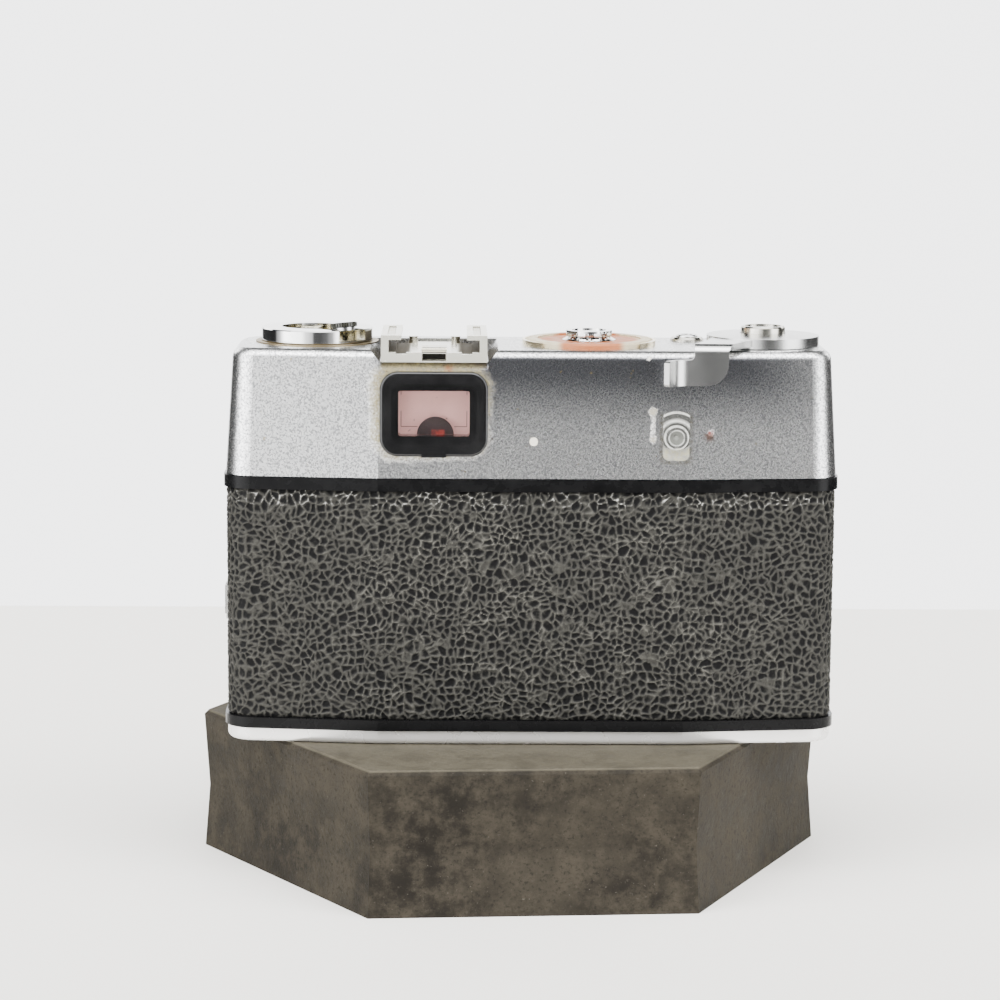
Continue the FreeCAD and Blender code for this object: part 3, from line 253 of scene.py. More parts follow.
def glass(name, tint, roughness=0.02, ior=1.3):
    """Clear pane with faint smears."""
    look = Look(name, tint, 0.0, roughness, Transmission_Weight=1.0, IOR=ior)
    smear = look.noise(0.5, 4.0, 0.65)
    film = look.step(smear, 0.5, 0.8, 0.0, 0.35)
    look.out(look.step(smear, 0.45, 0.8, roughness, roughness + 0.10), "Roughness")
    look.out(look.mix(film, tint, tuple(c * 0.9 for c in tint)), "Base Color")
    look.out(look.bump(look.noise(0.08, 1.0), 0.002), "Normal")
    return look


def cover_grain_and_shade(look, pearl):
    """Speckled satin chrome, with painted shade darkening it towards the top edge except on the facet at
    the rewind end.
    """
    slow = look.noise(0.05, 4.0, 0.6)
    spot = look.noise(2.6, 2.0, 0.7, offset=31.0)
    base = look.mix(slow, (0.52, 0.525, 0.53), (0.64, 0.635, 0.625))
    base = look.mix(look.step(pearl, 0.44, 0.60, 0.0, 0.9), base, (0.97, 0.97, 0.97))
    base = look.mix(look.step(pearl, 0.38, 0.50, 0.7, 0.0), base, (0.20, 0.205, 0.22))
    base = look.mix(look.step(spot, 0.60, 0.70, 0.0, 0.45), base, (0.20, 0.20, 0.20))
    # painted shade: the rear face darkens from z 64 towards the top edge, fading out just under the edge
    # and sparing the facet at the rewind end
    height = look.place("Z")
    shade = look.times(look.step(height, 64.0, 79.5, 0.0, 0.98),
                       look.step(look.place("X"), -34.0, -30.0),
                       look.step(look.place("Y"), 2.0, 5.0, 1.0, 0.0),
                       look.step(height, 81.2, 82.6, 1.0, 0.0))
    return look.mix(shade, base, look.mix(pearl, (0.03, 0.031, 0.036), (0.24, 0.243, 0.26)))


def eyepiece_stain(look, rear):
    """Masks of the crust in a ragged band round the eyepiece, and of the rust flecks near it."""
    away = look.vector("SUBTRACT", look.mm, tuple(at(*EYEPIECE) / MM))
    # the straight parts of the eyepiece's outline end where its 3.8 mm corners begin
    half_straight, corner = (7.4, 90.0, 5.0), 3.8
    outside = look.vector("SUBTRACT", look.vector("ABSOLUTE", away), half_straight)
    reach = look.calc("SUBTRACT", look.vector("LENGTH", look.vector("MAXIMUM", outside)), corner)
    # wider towards the upper left
    lean = look.vector("DOT_PRODUCT", away, (-0.055, 0.0, 0.06))
    width = look.calc("ADD", look.times(look.noise(0.7, 4.0, 0.7, offset=2.0), 3.4), lean)
    halo = look.times(look.step(look.calc("SUBTRACT", reach, width), -1.9, 0.4, 1.0, 0.0),
                      look.step(look.noise(2.0, 3.0, 0.75, offset=4.0), 0.30, 0.62, 0.35, 1.0), rear)
    flecks = look.times(look.step(look.noise(1.7, 2.0, 0.6, offset=41.0), 0.64, 0.70, 0.0, 0.9),
                        look.step(reach, 1.0, 4.0, 1.0, 0.0), rear)
    return halo, flecks


def cover_look():
    """Pearl chrome of the top cover: satin grain, a stain round the eyepiece, rust, glue and chips, with
    painted shade towards the top edge and painted shade and dirt under the shoe.
    """
    look = Look("pearl_chrome", (0.56, 0.56, 0.555), 1.0, 0.27)
    pearl = look.noise(2.3, 2.5, 0.8)
    base = cover_grain_and_shade(look, pearl)
    rear = look.step(look.place("Y"), 2.5, 3.5, 1.0, 0.0)
    halo, flecks = eyepiece_stain(look, rear)
    crust = look.mix(look.noise(1.3, 3.0, 0.7, offset=9.0), (0.15, 0.115, 0.045), (0.40, 0.355, 0.20))
    rust = look.near(-17.4, 0.6, 79.6, 0.5, 1.6, ragged=1.2)
    red_spot = look.near(36.9, 0.6, 66.3, 0.75, 0.7, ragged=1.2)
    red_run = look.near(36.6, 0.6, 65.4, 1.2, 1.4, ragged=1.9)
    chip = look.near(23.9, 0.9, 81.7, 0.9, 0.3, ragged=1.2)
    # two blobs of old glue with a thinner column between them
    crumbs = look.noise(2.2, 3.0, 0.75, offset=51.0)
    blobs = look.most(look.near(24.85, 0.5, 70.6, 1.25, 0.3, ragged=1.1),
                      look.near(24.9, 0.5, 64.8, 1.15, 0.3, ragged=1.3))
    glue = look.times(blobs, look.step(crumbs, 0.38, 0.50, 0.35, 1.0))
    column = look.times(look.within("X", 24.55, 25.15, 0.35), look.within("Z", 65.6, 70.0, 0.8),
                        look.step(crumbs, 0.40, 0.60, 0.0, 0.55), rear)
    # dirt round the flash socket
    ring = look.times(look.within("X", 26.6, 32.8, 0.7), look.within("Z", 60.1, 70.0, 0.8),
                      look.step(look.noise(1.5, 3.0, 0.75, offset=61.0), 0.42, 0.62, 0.15, 0.75), rear)
    freckles = look.times(look.step(look.noise(0.55, 2.0, 0.5, offset=21.0), 0.735, 0.76), 0.75)
    # painted shade and dirt: the cover's top under the shoe is darkened to a dull dark brown
    shade_and_dirt_under_shoe = look.times(look.within("X", -31.2, -9.7, 0.3), look.within("Y", 1.2, 24.5, 0.3),
                            look.within("Z", 79.5, 90.0, 0.3))
    base = look.blend_over(base, [
        (look.times(shade_and_dirt_under_shoe, 0.9), (0.085, 0.07, 0.045)), (freckles, (0.34, 0.28, 0.16)), (halo, crust),
        (flecks, (0.06, 0.030, 0.014)), (rust, (0.26, 0.085, 0.022)), (red_run, (0.30, 0.20, 0.17)),
        (red_spot, (0.13, 0.02, 0.015)), (ring, (0.30, 0.27, 0.20)), (column, (0.26, 0.235, 0.18)),
        (glue, (0.36, 0.33, 0.26)), (chip, (0.75, 0.73, 0.68))])
    dull = look.most(look.times(halo, 0.8), rust, red_spot, glue, chip, column, shade_and_dirt_under_shoe)
    rough = look.calc("ADD", look.step(pearl, 0.3, 0.7, 0.31, 0.24), look.times(dull, 0.4))
    look.out(base, "Base Color").out(rough, "Roughness")
    look.out(look.calc("SUBTRACT", 1.0, look.times(dull, 0.9)), "Metallic")
    normal = look.bump(look.noise(2.7, 2.5, 0.75), 0.034)
    look.out(look.bump(dull, 0.10, normal), "Normal")
    return look


def leather_look():
    """Black crinkled covering: painted shade making the pits dark and the slopes grey, and a net of raised
    creases that hold pale dust, painted as highlights along the top edge.
    """
    look = Look("crinkle_leather", (0.02, 0.02, 0.02), 0.0, 0.42, Specular_IOR_Level=0.10)
    ridge = look.attribute("ridge")
    dust_zone = look.attribute("dust")
    height = look.attribute("height")
    fine = look.noise(3.2, 3.0, 0.7)
    # painted shade: the colour darkens with depth, near black in the pit bottoms and grey on the slopes
    pit = look.mix(fine, (0.001, 0.001, 0.0012), (0.004, 0.004, 0.004))
    slope = look.mix(look.noise(1.1, 4.0, 0.7, offset=8.0), (0.010, 0.0098, 0.0090), (0.056, 0.054, 0.047))
    base = look.mix(look.step(height, 0.12, 0.62), pit, slope)
    # painted highlight: along the top edge the creases are painted pale where they catch the light
    glint = look.times(look.step(look.place("Z"), 49.2, 51.6), look.step(look.noise(0.9, 2.0), 0.40, 0.62))
    crease = look.mix(look.noise(0.4, 3.0), (0.068, 0.066, 0.058), (0.205, 0.197, 0.168))
    crease = look.mix(glint, crease, (0.75, 0.74, 0.70))
    # the crease colour lies where there is dust, and along the top edge as the painted highlight
    amount = look.times(look.step(ridge, 0.28, 0.95), look.most(dust_zone, glint),
                        look.step(look.noise(0.45, 4.0, 0.7, offset=33.0), 0.30, 0.62, 0.30, 1.0))
    specks = look.step(look.noise(1.3, 4.0, 0.7, offset=15.0), 0.74, 0.80, 0.0, 0.5)
    base = look.blend_over(base, [(amount, crease), (look.times(specks, dust_zone), (0.10, 0.09, 0.07))])
    look.out(base, "Base Color")
    look.out(look.step(ridge, 0.0, 0.8, 0.50, 0.27), "Roughness")
    look.out(look.bump(fine, 0.07), "Normal")
    return look


def block_look():
    """Dark grey-brown stone-like board: mottled, speckled, with a pale chip and a lighter top."""
    look = Look("dark_block", (0.03, 0.027, 0.022), 0.0, 0.78, Specular_IOR_Level=0.10)
    broad = look.noise(0.030, 4.0, 0.6)
    mid = look.noise(0.16, 6.0, 0.72, offset=3.0)
    fine = look.noise(1.1, 5.0, 0.75, offset=6.0)
    grit = look.step(look.noise(1.7, 2.0, 0.6, offset=12.0), 0.71, 0.76, 0.0, 0.55)
    chalk = look.step(look.noise(0.35, 5.0, 0.75, offset=17.0), 0.66, 0.74, 0.0, 0.5)
    chip = look.near(43.5, -6.0, -0.8, 1.6, 1.0, ragged=2.6)
    base = look.mix(look.step(broad, 0.3, 0.7), (0.0078, 0.0066, 0.0048), (0.027, 0.0230, 0.0166))
    base = look.blend_over(base, [
        (look.step(mid, 0.38, 0.66, 0.0, 0.7), (0.044, 0.0376, 0.0275)),
        (look.step(fine, 0.50, 0.68, 0.0, 0.7), (0.0075, 0.0065, 0.0055)),
        (look.step(fine, 0.30, 0.40, 0.6, 0.0), (0.044, 0.039, 0.031)),
        (grit, (0.10, 0.09, 0.072)), (chalk, (0.055, 0.050, 0.040)), (chip, (0.22, 0.21, 0.18))])
    top = look.times(look.step(look.place("Z"), -0.5, -0.15), look.step(mid, 0.30, 0.60, 0.55, 0.9))
    base = look.mix(top, base, look.mix(fine, (0.045, 0.039, 0.027), (0.115, 0.103, 0.076)))
    look.out(base, "Base Color")
    look.out(look.step(mid, 0.3, 0.7, 0.62, 0.86), "Roughness")
    look.out(look.bump(fine, 0.12, look.bump(mid, 0.30)), "Normal")
    return look


def dial_scale_look():
    """Faded orange scale with a paler, worn outer band at its left and right."""
    look = Look("dial_scale", (0.7, 0.3, 0.12), 0.0, 0.45)
    wear = look.noise(0.5, 4.0, 0.7)
    inner = look.mix(wear, (0.26, 0.060, 0.016), (0.48, 0.17, 0.055))
    outer = look.mix(look.noise(0.9, 3.0, offset=4.0), (0.40, 0.33, 0.20), (0.66, 0.59, 0.42))
    reach = look.vector("DISTANCE", look.mm, tuple(at(*DIAL) / MM))
    edge = look.calc("ADD", reach, look.times(look.noise(0.7, 3.0, offset=8.0), 2.4))
    aside = look.calc("ABSOLUTE", look.calc("SUBTRACT", look.place("X"), DIAL[0]))
    pale = look.times(look.step(edge, 11.0, 12.6), look.step(aside, 5.5, 7.5))
    look.out(look.mix(pale, inner, outer), "Base Color")
    look.out(look.step(wear, 0.3, 0.7, 0.35, 0.6), "Roughness")
    look.out(look.bump(wear, 0.03), "Normal")
    return look


def knob_look():
    """Rewind knob: bright scuffed rim and top, with a stained recess under the crank."""
    look = metal("scuffed_knob", (0.80, 0.80, 0.79), 0.09, grain=0.9, grain_depth=0.003, mottle=0.05,
                 dirt=(0.10, 0.095, 0.085), dirt_amount=0.30)
    hollow = look.times(look.near(*REWIND_KNOB, 9.0, 0.8), look.step(look.place("Z"), 85.5, 85.9, 1.0, 0.0))
    stain = look.mix(look.noise(0.8, 3.0), (0.50, 0.46, 0.34), (0.72, 0.69, 0.58))
    base = look.bsdf.inputs["Base Color"].links[0].from_socket
    look.out(look.mix(hollow, base, stain), "Base Color")
    return look


def notch_painted_shade(look):
    """Paints shade into the notch in the middle of the shoe's rear lip with a near-black, dull film."""
    gap = look.times(look.within("X", -22.8, -18.1, 0.1), look.within("Z", 81.0, 84.35, 0.15),
                     look.within("Y", 0.75, 6.0, 0.1))
    look.cover_with(gap, look.mix(look.noise(1.5, 3.0), (0.003, 0.0025, 0.002), (0.03, 0.025, 0.018)))
    return look


def shoe_look():
    """Yellowed chrome of the accessory shoe, its recesses under the rails darkened with painted shade and
    dirt.
    """
    look = metal("yellowed_chrome", (0.78, 0.76, 0.66), 0.24, grain=1.6, grain_depth=0.006, mottle=0.08,
                 dirt=(0.36, 0.31, 0.19), dirt_amount=0.30, metallic=0.55)
    # painted shade and dirt: a dark dull film in the recesses under the rails
    side = look.step(look.calc("ABSOLUTE", look.calc("SUBTRACT", look.place("X"), SHOE_X)), 4.6, 5.4)
    deep = look.times(look.within("Y", 1.9, 40.0, 0.4), look.within("Z", 80.0, 85.15, 0.2))
    grime_and_shade = look.mix(look.noise(1.2, 4.0, 0.7), (0.018, 0.015, 0.010), (0.12, 0.10, 0.065))
    look.cover_with(look.times(side, deep), grime_and_shade)
    return notch_painted_shade(look)


def socket_look():
    """Dusty chrome of the flash socket, with painted highlights along its rings and ribs and painted shade
    between them.
    """
    look = metal("socket_chrome", (0.58, 0.58, 0.55), 0.19, grain=1.4, grain_depth=0.012, mottle=0.10,
                 dirt=(0.34, 0.31, 0.23), dirt_amount=0.2, metallic=0.93)
    away = look.vector("SUBTRACT", look.mm, tuple(at(*FLASH_SOCKET) / MM))
    reach = look.vector("LENGTH", look.vector("MULTIPLY", away, (1.0, 0.0, 1.0)))
    upper = look.step(look.place("Z"), 66.5, 67.4)
    rings = 0.0
    # painted highlights: each ring's radius and half width, and how much of it shows: the outer two only at
    # the top
    for radius, half, part in ((2.42, 0.10, 1.0), (1.55, 0.07, 0.8),
                               (3.55, 0.13, upper), (5.25, 0.13, upper)):
        off = look.calc("ABSOLUTE", look.calc("SUBTRACT", reach, radius))
        rings = look.most(rings, look.times(look.step(off, half, half + 0.16, 1.0, 0.0), part))
    rings = look.times(rings, look.step(look.noise(0.9, 3.0, 0.7), 0.30, 0.52, 0.35, 1.0))
    # painted shade: a dark band round the socket between 3.3 and 3.7 mm out
    shade = look.times(look.step(reach, 2.9, 3.3), look.step(reach, 4.2, 3.7))
    look.cover_with(look.times(shade, 0.5), (0.045, 0.045, 0.04))
    look.cover_with(look.times(rings, 0.85), (0.62, 0.62, 0.58), 0.4)
    foot = look.times(look.step(look.place("Z"), 62.6, 63.6, 1.0, 0.0),
                      look.step(look.noise(1.5, 3.0, 0.75, offset=61.0), 0.40, 0.58, 0.2, 0.9))
    look.cover_with(foot, (0.30, 0.28, 0.19))
    return look


def field_look():
    """Pink half-silvered field of the finder, with the frame's dark hairlines and a few dust specks; it
    glows faintly pink, painted light standing for the view through the finder.
    """
    look = Look("finder_field", (0.62, 0.46, 0.45), 0.0, 0.35, Emission_Color=(0.95, 0.62, 0.62, 1.0),
                Emission_Strength=0.30)
    half, soft = 0.04, 0.05
    foot = 66.74
    along_foot = look.within("Z", foot - half, foot + half, soft)
    hairs = [look.times(along_foot, look.within("X", -27.3, -23.9, soft)),
             look.times(along_foot, look.within("X", -16.2, -13.6, soft))]
    for x in (-27.30, -13.62):
        upright = look.within("X", x - half, x + half, soft)
        for low, high in ((73.4, 74.5), (66.8, 70.0)):
            hairs.append(look.times(upright, look.within("Z", low, high, soft)))
    specks = look.step(look.noise(1.4, 2.0, 0.5, offset=3.0), 0.72, 0.75, 0.0, 0.7)
    dark = look.most(specks, *hairs)
    outline = look.near(-20.15, 14.0, 65.15, 4.25, 0.1)
    base = look.mix(look.noise(0.18, 2.0), (0.40, 0.28, 0.255), (0.54, 0.40, 0.365))
    base = look.mix(look.times(outline, 0.5), base, (0.85, 0.76, 0.74))
    look.out(look.mix(dark, base, (0.05, 0.03, 0.03)), "Base Color")
    # painted light: the field's pink glow, dark at the hairlines and specks
    look.out(look.mix(dark, (0.90, 0.56, 0.50), (0.05, 0.02, 0.02)), "Emission Color")
    return look


def mask_look():
    """Matte black mask behind the pane, with a painted red glint glowing at its foot."""
    look = plastic("finder_mask_black", (0.008, 0.007, 0.007), 0.6, dust_amount=0.2, Emission_Strength=1.0)
    # painted highlight: the red glint at the foot glows through the emission
    glint = look.times(look.within("X", -20.6, -18.6, 0.6), look.within("Z", 65.3, 66.0, 0.5),
                       look.step(look.noise(0.8, 2.0, 0.5), 0.30, 0.55, 0.3, 1.0))
    look.out(look.mix(glint, (0.002, 0.0015, 0.0015), (0.34, 0.03, 0.02)), "Emission Color")
    return look


CHROME = metal("satin_chrome", (0.70, 0.70, 0.69), 0.20, grain_depth=0.003, mottle=0.05)
PALE_CHROME = metal("pale_satin_chrome", (0.88, 0.87, 0.855), 0.26, grain_depth=0.006, mottle=0.04,
                    metallic=0.7)
BRIGHT = metal("scuffed_chrome", (0.80, 0.80, 0.79), 0.08, grain=1.2, grain_depth=0.003, mottle=0.06,
               scratch=0.01, dirt=(0.12, 0.11, 0.1), dirt_amount=0.25)
OLD_CHROME = metal("aged_chrome", (0.80, 0.78, 0.70), 0.20, grain=1.6, grain_depth=0.006, mottle=0.08,
                   dirt=(0.42, 0.36, 0.22), dirt_amount=0.35)
SOCKET_CORE = metal("dull_core", (0.46, 0.47, 0.43), 0.30, grain=1.2, grain_depth=0.03, mottle=0.15,
                    metallic=0.7)
SPRING = notch_painted_shade(metal("dull_spring_steel", (0.66, 0.62, 0.50), 0.28, mottle=0.12,
                          dirt=(0.36, 0.30, 0.18), dirt_amount=0.4, metallic=0.8))
STEEL = metal("satin_steel", (0.60, 0.60, 0.59), 0.24, grain=2.4, grain_depth=0.010, mottle=0.05)
DARK_STEEL = metal("blackened_steel", (0.06, 0.06, 0.065), 0.35)
BRASS = metal("tarnished_brass", (0.55, 0.43, 0.22), 0.35, mottle=0.2, dirt=(0.16, 0.12, 0.06),
              dirt_amount=0.5)
SEAT = metal("stained_seat", (0.34, 0.27, 0.16), 0.40, mottle=0.2, dirt=(0.10, 0.07, 0.04), dirt_amount=0.6)
GILT = metal("worn_gilt", (0.86, 0.76, 0.54), 0.20, mottle=0.10, dirt=(0.5, 0.38, 0.2), dirt_amount=0.45)
COUNTER = metal("counter_metal", (0.62, 0.60, 0.54), 0.16, mottle=0.1, dirt=(0.36, 0.29, 0.16),
                dirt_amount=0.5)
ANODISED = metal("black_anodised", (0.035, 0.035, 0.038), 0.38, grain=3.0, mottle=0.1)
ALLOY = metal("satin_alloy", (0.62, 0.62, 0.62), 0.28, streak=(6.0, 0.4, 6.0))
LACQUER = plastic("black_lacquer", (0.0016, 0.0016, 0.0018), 0.26, dust=(0.02, 0.02, 0.019),
                  dust_amount=0.3, Specular_IOR_Level=0.10)
BLACK = plastic("black_moulding", (0.008, 0.008, 0.009), 0.16, dust=(0.12, 0.115, 0.11), dust_amount=0.3,
                Specular_IOR_Level=0.45)
EYE_BLACK = plastic("eyepiece_black", (0.003, 0.003, 0.0032), 0.16, dust=(0.05, 0.05, 0.05),
                    dust_amount=0.15, Specular_IOR_Level=0.5)
HANDLE = plastic("olive_black_handle", (0.018, 0.018, 0.013), 0.32, dust=(0.2, 0.19, 0.15), dust_amount=0.4)
MATTE = plastic("matte_black", (0.012, 0.012, 0.012), 0.75, dust_amount=0.3)
IVORY = plastic("ivory", (0.60, 0.57, 0.47), 0.45, dust=(0.4, 0.33, 0.2), dust_amount=0.4)
CLEAR = glass("clear_glass", (0.95, 0.97, 0.98))
COATED = glass("coated_glass", (0.93, 0.95, 1.0), ior=1.5)
PINK = glass("pink_glass", (0.98, 0.86, 0.86), ior=1.1)
LEATHER = leather_look()

NODE_LOOKS = {
    "display_block": block_look(), "top_cover": cover_look(), "base_plate": PALE_CHROME,
    "case_screws": CHROME, "tripod_socket": STEEL, "rewind_button": CHROME, "body_casting": LACQUER,
    "back_door": LACQUER, "hinge_pin": STEEL, "pressure_plate": MATTE, "pressure_springs": BRASS,
    "back_latch": CHROME, "eyepiece_frame": EYE_BLACK, "eyepiece_lens": PINK, "finder_mask": mask_look(),
    "beam_splitter": field_look(), "finder_block": MATTE, "front_window_frame": BLACK,
    "front_windows": CLEAR, "sync_socket": socket_look(), "sync_insulator": SOCKET_CORE,
    "sync_pin": SOCKET_CORE, "adjuster_cap": IVORY, "accessory_shoe": shoe_look(), "shoe_spring": SPRING,
    "shoe_screws": OLD_CHROME, "rewind_seat": SEAT, "rewind_collar": BRASS, "rewind_knob": knob_look(),
    "rewind_crank": CHROME, "crank_pin": STEEL, "crank_handle": HANDLE, "dial_plate": dial_scale_look(),
    "dial_bezel": GILT, "dial_knob": BRIGHT, "button_collar": COUNTER, "shutter_button": CHROME,
    "button_spring": STEEL, "advance_lever": STEEL, "counter_bezel": COUNTER, "counter_window": CLEAR,
    "frame_counter": MATTE, "sprocket": STEEL, "takeup_spool": MATTE, "lens_barrel": ALLOY,
    "focus_ring": ALLOY, "aperture_ring": ANODISED, "speed_ring": ALLOY, "filter_ring": ANODISED,
    "front_cell": MATTE, "front_element": COATED, "middle_element": COATED, "rear_element": COATED,
    "rear_cell": ANODISED, "aperture_blades": DARK_STEEL, "shutter_blades": DARK_STEEL,
    "self_timer_lever": CHROME,
}
for node_name, look in NODE_LOOKS.items():
    materials = NODES[node_name].data.materials
    materials.clear()
    materials.append(look.mat)

# widths of the softened edges, in millimetres
SOFT_EDGES = {
    "accessory_shoe": 0.15, "advance_lever": 0.22, "sync_socket": 0.16, "rewind_knob": 0.15,
    "counter_bezel": 0.12, "shoe_screws": 0.15, "dial_knob": 0.12, "dial_bezel": 0.15,
    "self_timer_lever": 0.3, "focus_ring": 0.12, "aperture_ring": 0.12, "speed_ring": 0.12,
    "filter_ring": 0.2, "rewind_crank": 0.12, "display_block": 0.7, "body_casting": 0.25,
    "back_door": 0.25, "back_latch": 0.2, "front_window_frame": 0.3, "eyepiece_frame": 0.15,
}
for node_name, width in SOFT_EDGES.items():
    bevel = NODES[node_name].modifiers.new("soft_edges", "BEVEL")
    bevel.width = width * MM
    bevel.segments = 2
    bevel.limit_method = "ANGLE"
    bevel.angle_limit = math.radians(35)
    bevel.use_clamp_overlap = True
    bevel.harden_normals = True


# ---------------------------------------------------------------- crinkled leather
# plan of the camera's body in millimetres: its rear face falls away towards both ends from a crease
HALF_WIDTH, DEPTH = 64.0, 34.0
CREASE_X = 32.0
FACET_Y = (HALF_WIDTH - CREASE_X) * math.tan(math.radians(6.0))
SPLIT_Y = 15.0
LEATHER_LOW, LEATHER_HIGH = 5.35, 53.75

GRAIN_STEP = 0.20
SKIN_DEPTH = 0.46
RIDGE_HEIGHT = 0.44
TUCK_WIDTH, TUCK_DEPTH = 0.7, 0.15
ARC_STEPS = 24


def rounded_path(points, radii, step):
    """Evenly spaced points and outward normals along an open path, its corners rounded."""
    dense = [Vector(points[0])]
    for i in range(1, len(points) - 1):
        corner = Vector(points[i])
        if radii[i] <= 0:
            dense.append(corner)
            continue
        back = (Vector(points[i - 1]) - corner).normalized()
        ahead = (Vector(points[i + 1]) - corner).normalized()
        half = back.angle(ahead) / 2
        reach = radii[i] / math.tan(half)
        centre = corner + (back + ahead).normalized() * (radii[i] / math.sin(half))
        first, last = corner + back * reach - centre, corner + ahead * reach - centre
        turn = first.angle_signed(last)
        for k in range(ARC_STEPS + 1):
            angle = -turn * k / ARC_STEPS
            c, s = math.cos(angle), math.sin(angle)
            dense.append(centre + Vector((c * first.x - s * first.y, s * first.x + c * first.y)))
    dense.append(Vector(points[-1]))
    pts = np.array([(p.x, p.y) for p in dense])
    run = np.concatenate([[0], np.cumsum(np.hypot(*np.diff(pts, axis=0).T))])
    s = np.linspace(0, run[-1], int(run[-1] / step))
    x, y = np.interp(s, run, pts[:, 0]), np.interp(s, run, pts[:, 1])
    dx, dy = np.gradient(x), np.gradient(y)
    length = np.hypot(dx, dy)
    return s, x, y, dy / length, -dx / length


def value_noise(x, y, size, seed):
    """Smooth noise from -1 to 1 with features of the given size."""
    cells = 512
    grid = np.random.default_rng(seed).uniform(-1, 1, (cells, cells))
    u, v = x / size + 40, y / size + 40
    i, j = np.floor(u).astype(int), np.floor(v).astype(int)
    fu, fv = u - i, v - j
    fu, fv = fu * fu * (3 - 2 * fu), fv * fv * (3 - 2 * fv)
    i, j = i % (cells - 1), j % (cells - 1)
    low = grid[i, j] * (1 - fu) + grid[i + 1, j] * fu
    high = grid[i, j + 1] * (1 - fu) + grid[i + 1, j + 1] * fu
    return low * (1 - fv) + high * fv


def cell_edges(x, y, size, seed):
    """Distance to the nearest cell border, and a random number for the cell each point is in."""
    cells = 256
    rng = np.random.default_rng(seed)
    jitter = rng.uniform(-0.46, 0.46, (cells, cells, 2))
    tone = rng.uniform(0, 1, (cells, cells))
    u, v = x / size + 20, y / size + 20
    i, j = np.floor(u).astype(int), np.floor(v).astype(int)
    first = np.full(u.shape, np.inf)
    second = np.full(u.shape, np.inf)
    owner = np.zeros(u.shape)
    for di in (-1, 0, 1):
        for dj in (-1, 0, 1):
            a, b = (i + di) % cells, (j + dj) % cells
            reach = np.hypot(u - (i + di + 0.5 + jitter[a, b, 0]), v - (j + dj + 0.5 + jitter[a, b, 1]))
            nearer = reach < first
            second = np.where(nearer, first, np.minimum(second, reach))
            owner = np.where(nearer, tone[a, b], owner)
            first = np.where(nearer, reach, first)
    return (second - first) * size, owner


def crinkle(s, z, seed):
    """Height from 0 to 1 of the crinkled grain, and its ridge mask."""
    warp_s = s + 0.35 * value_noise(s, z, 1.1, seed) + 0.8 * value_noise(s, z, 6.0, seed + 1)
    warp_z = z + 0.35 * value_noise(s, z, 1.1, seed + 2) + 0.8 * value_noise(s, z, 6.0, seed + 3)
    border, owner = cell_edges(warp_s, warp_z, 1.55, seed + 4)
    fine_border, _ = cell_edges(warp_s, warp_z, 0.80, seed + 5)
    weight = 0.72 + 0.28 * value_noise(s, z, 2.3, seed + 6)
    ridge = np.exp(-(border / 0.20) ** 2) * weight
    fine = np.exp(-(fine_border / 0.14) ** 2) * (0.34 + 0.30 * value_noise(s, z, 3.1, seed + 7))
    slope = np.clip(1 - border / 0.85, 0, 1) * 0.48
    rough = 0.09 * value_noise(s, z, 0.42, seed + 8)
    height = np.clip(0.42 * ridge + slope + 0.35 * fine + 0.12 * owner + rough, 0, 1)
    return height, np.clip(0.8 * ridge + 0.45 * fine, 0, 1)


def dust_amount(s, z, seed):
    """How much pale dust lies on the creases: most in the middle, less at the ends and along the foot."""
    middle = np.exp(-((s - s.max() / 2) / (0.36 * s.max())) ** 4)
    patches = 0.75 + 0.5 * value_noise(s, z, 9.0, seed + 9)
    rise = 0.55 + 0.45 * np.clip((z - LEATHER_LOW) / 9.0, 0, 1)
    return np.clip(middle * patches, 0.30, 1) * rise


def leather_skin(name, node, body, points, radii, seed, keep):
    """A crinkled skin along a plan path, standing for a plain CAD covering."""
    s, x, y, nx, ny = rounded_path(points, radii, GRAIN_STEP)
    z = np.linspace(LEATHER_LOW, LEATHER_HIGH, int((LEATHER_HIGH - LEATHER_LOW) / GRAIN_STEP))
    rows, cols = len(z), len(s)
    grid_s, grid_z = np.meshgrid(s, z)
    height, ridge = crinkle(grid_s, grid_z, seed)
    # the skin's upper and lower edges turn in
    edge = np.minimum(grid_z - z[0], z[-1] - grid_z)
    tuck = np.clip(edge / TUCK_WIDTH, 0, 1) ** 0.5
    out = -SKIN_DEPTH - TUCK_DEPTH * (1 - tuck) + RIDGE_HEIGHT * height * tuck
    px, py = x[None, :] + nx[None, :] * out, y[None, :] + ny[None, :] * out
    verts = np.stack([px * MM + HOME.x, py * MM + HOME.y, grid_z * MM + HOME.z], axis=-1).reshape(-1, 3)
    i, j = np.meshgrid(np.arange(rows - 1), np.arange(cols - 1), indexing="ij")
    corner = (i * cols + j).ravel()
    faces = np.stack([corner, corner + 1, corner + 1 + cols, corner + cols], axis=1)
    good = keep(px.ravel(), py.ravel(), grid_z.ravel())
    faces = faces[good[faces].all(axis=1)]
    used = np.unique(faces)
    lookup = np.full(rows * cols, -1)
    lookup[used] = np.arange(len(used))
    mesh = bpy.data.meshes.new(name)
    mesh.from_pydata(verts[used].tolist(), [], lookup[faces].tolist())
    mesh.shade_smooth()
    dust = dust_amount(grid_s, grid_z, seed)
    for label, values in (("ridge", ridge), ("dust", dust), ("height", height)):
        layer = mesh.attributes.new(label, "FLOAT", "POINT")
        layer.data.foreach_set("value", values.ravel()[used].astype(np.float32))
    mesh.materials.append(LEATHER.mat)
    piece = bpy.data.objects.new(name, mesh)
    bpy.context.scene.collection.objects.link(piece)
    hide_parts(node)
    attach(piece, body)
    return piece


def back_keep(x, y, z):
    """The back's skin, open where the latch is."""
    return ~((x < -62) & (y > 8.0) & (z > 23.8) & (z < 36.2))


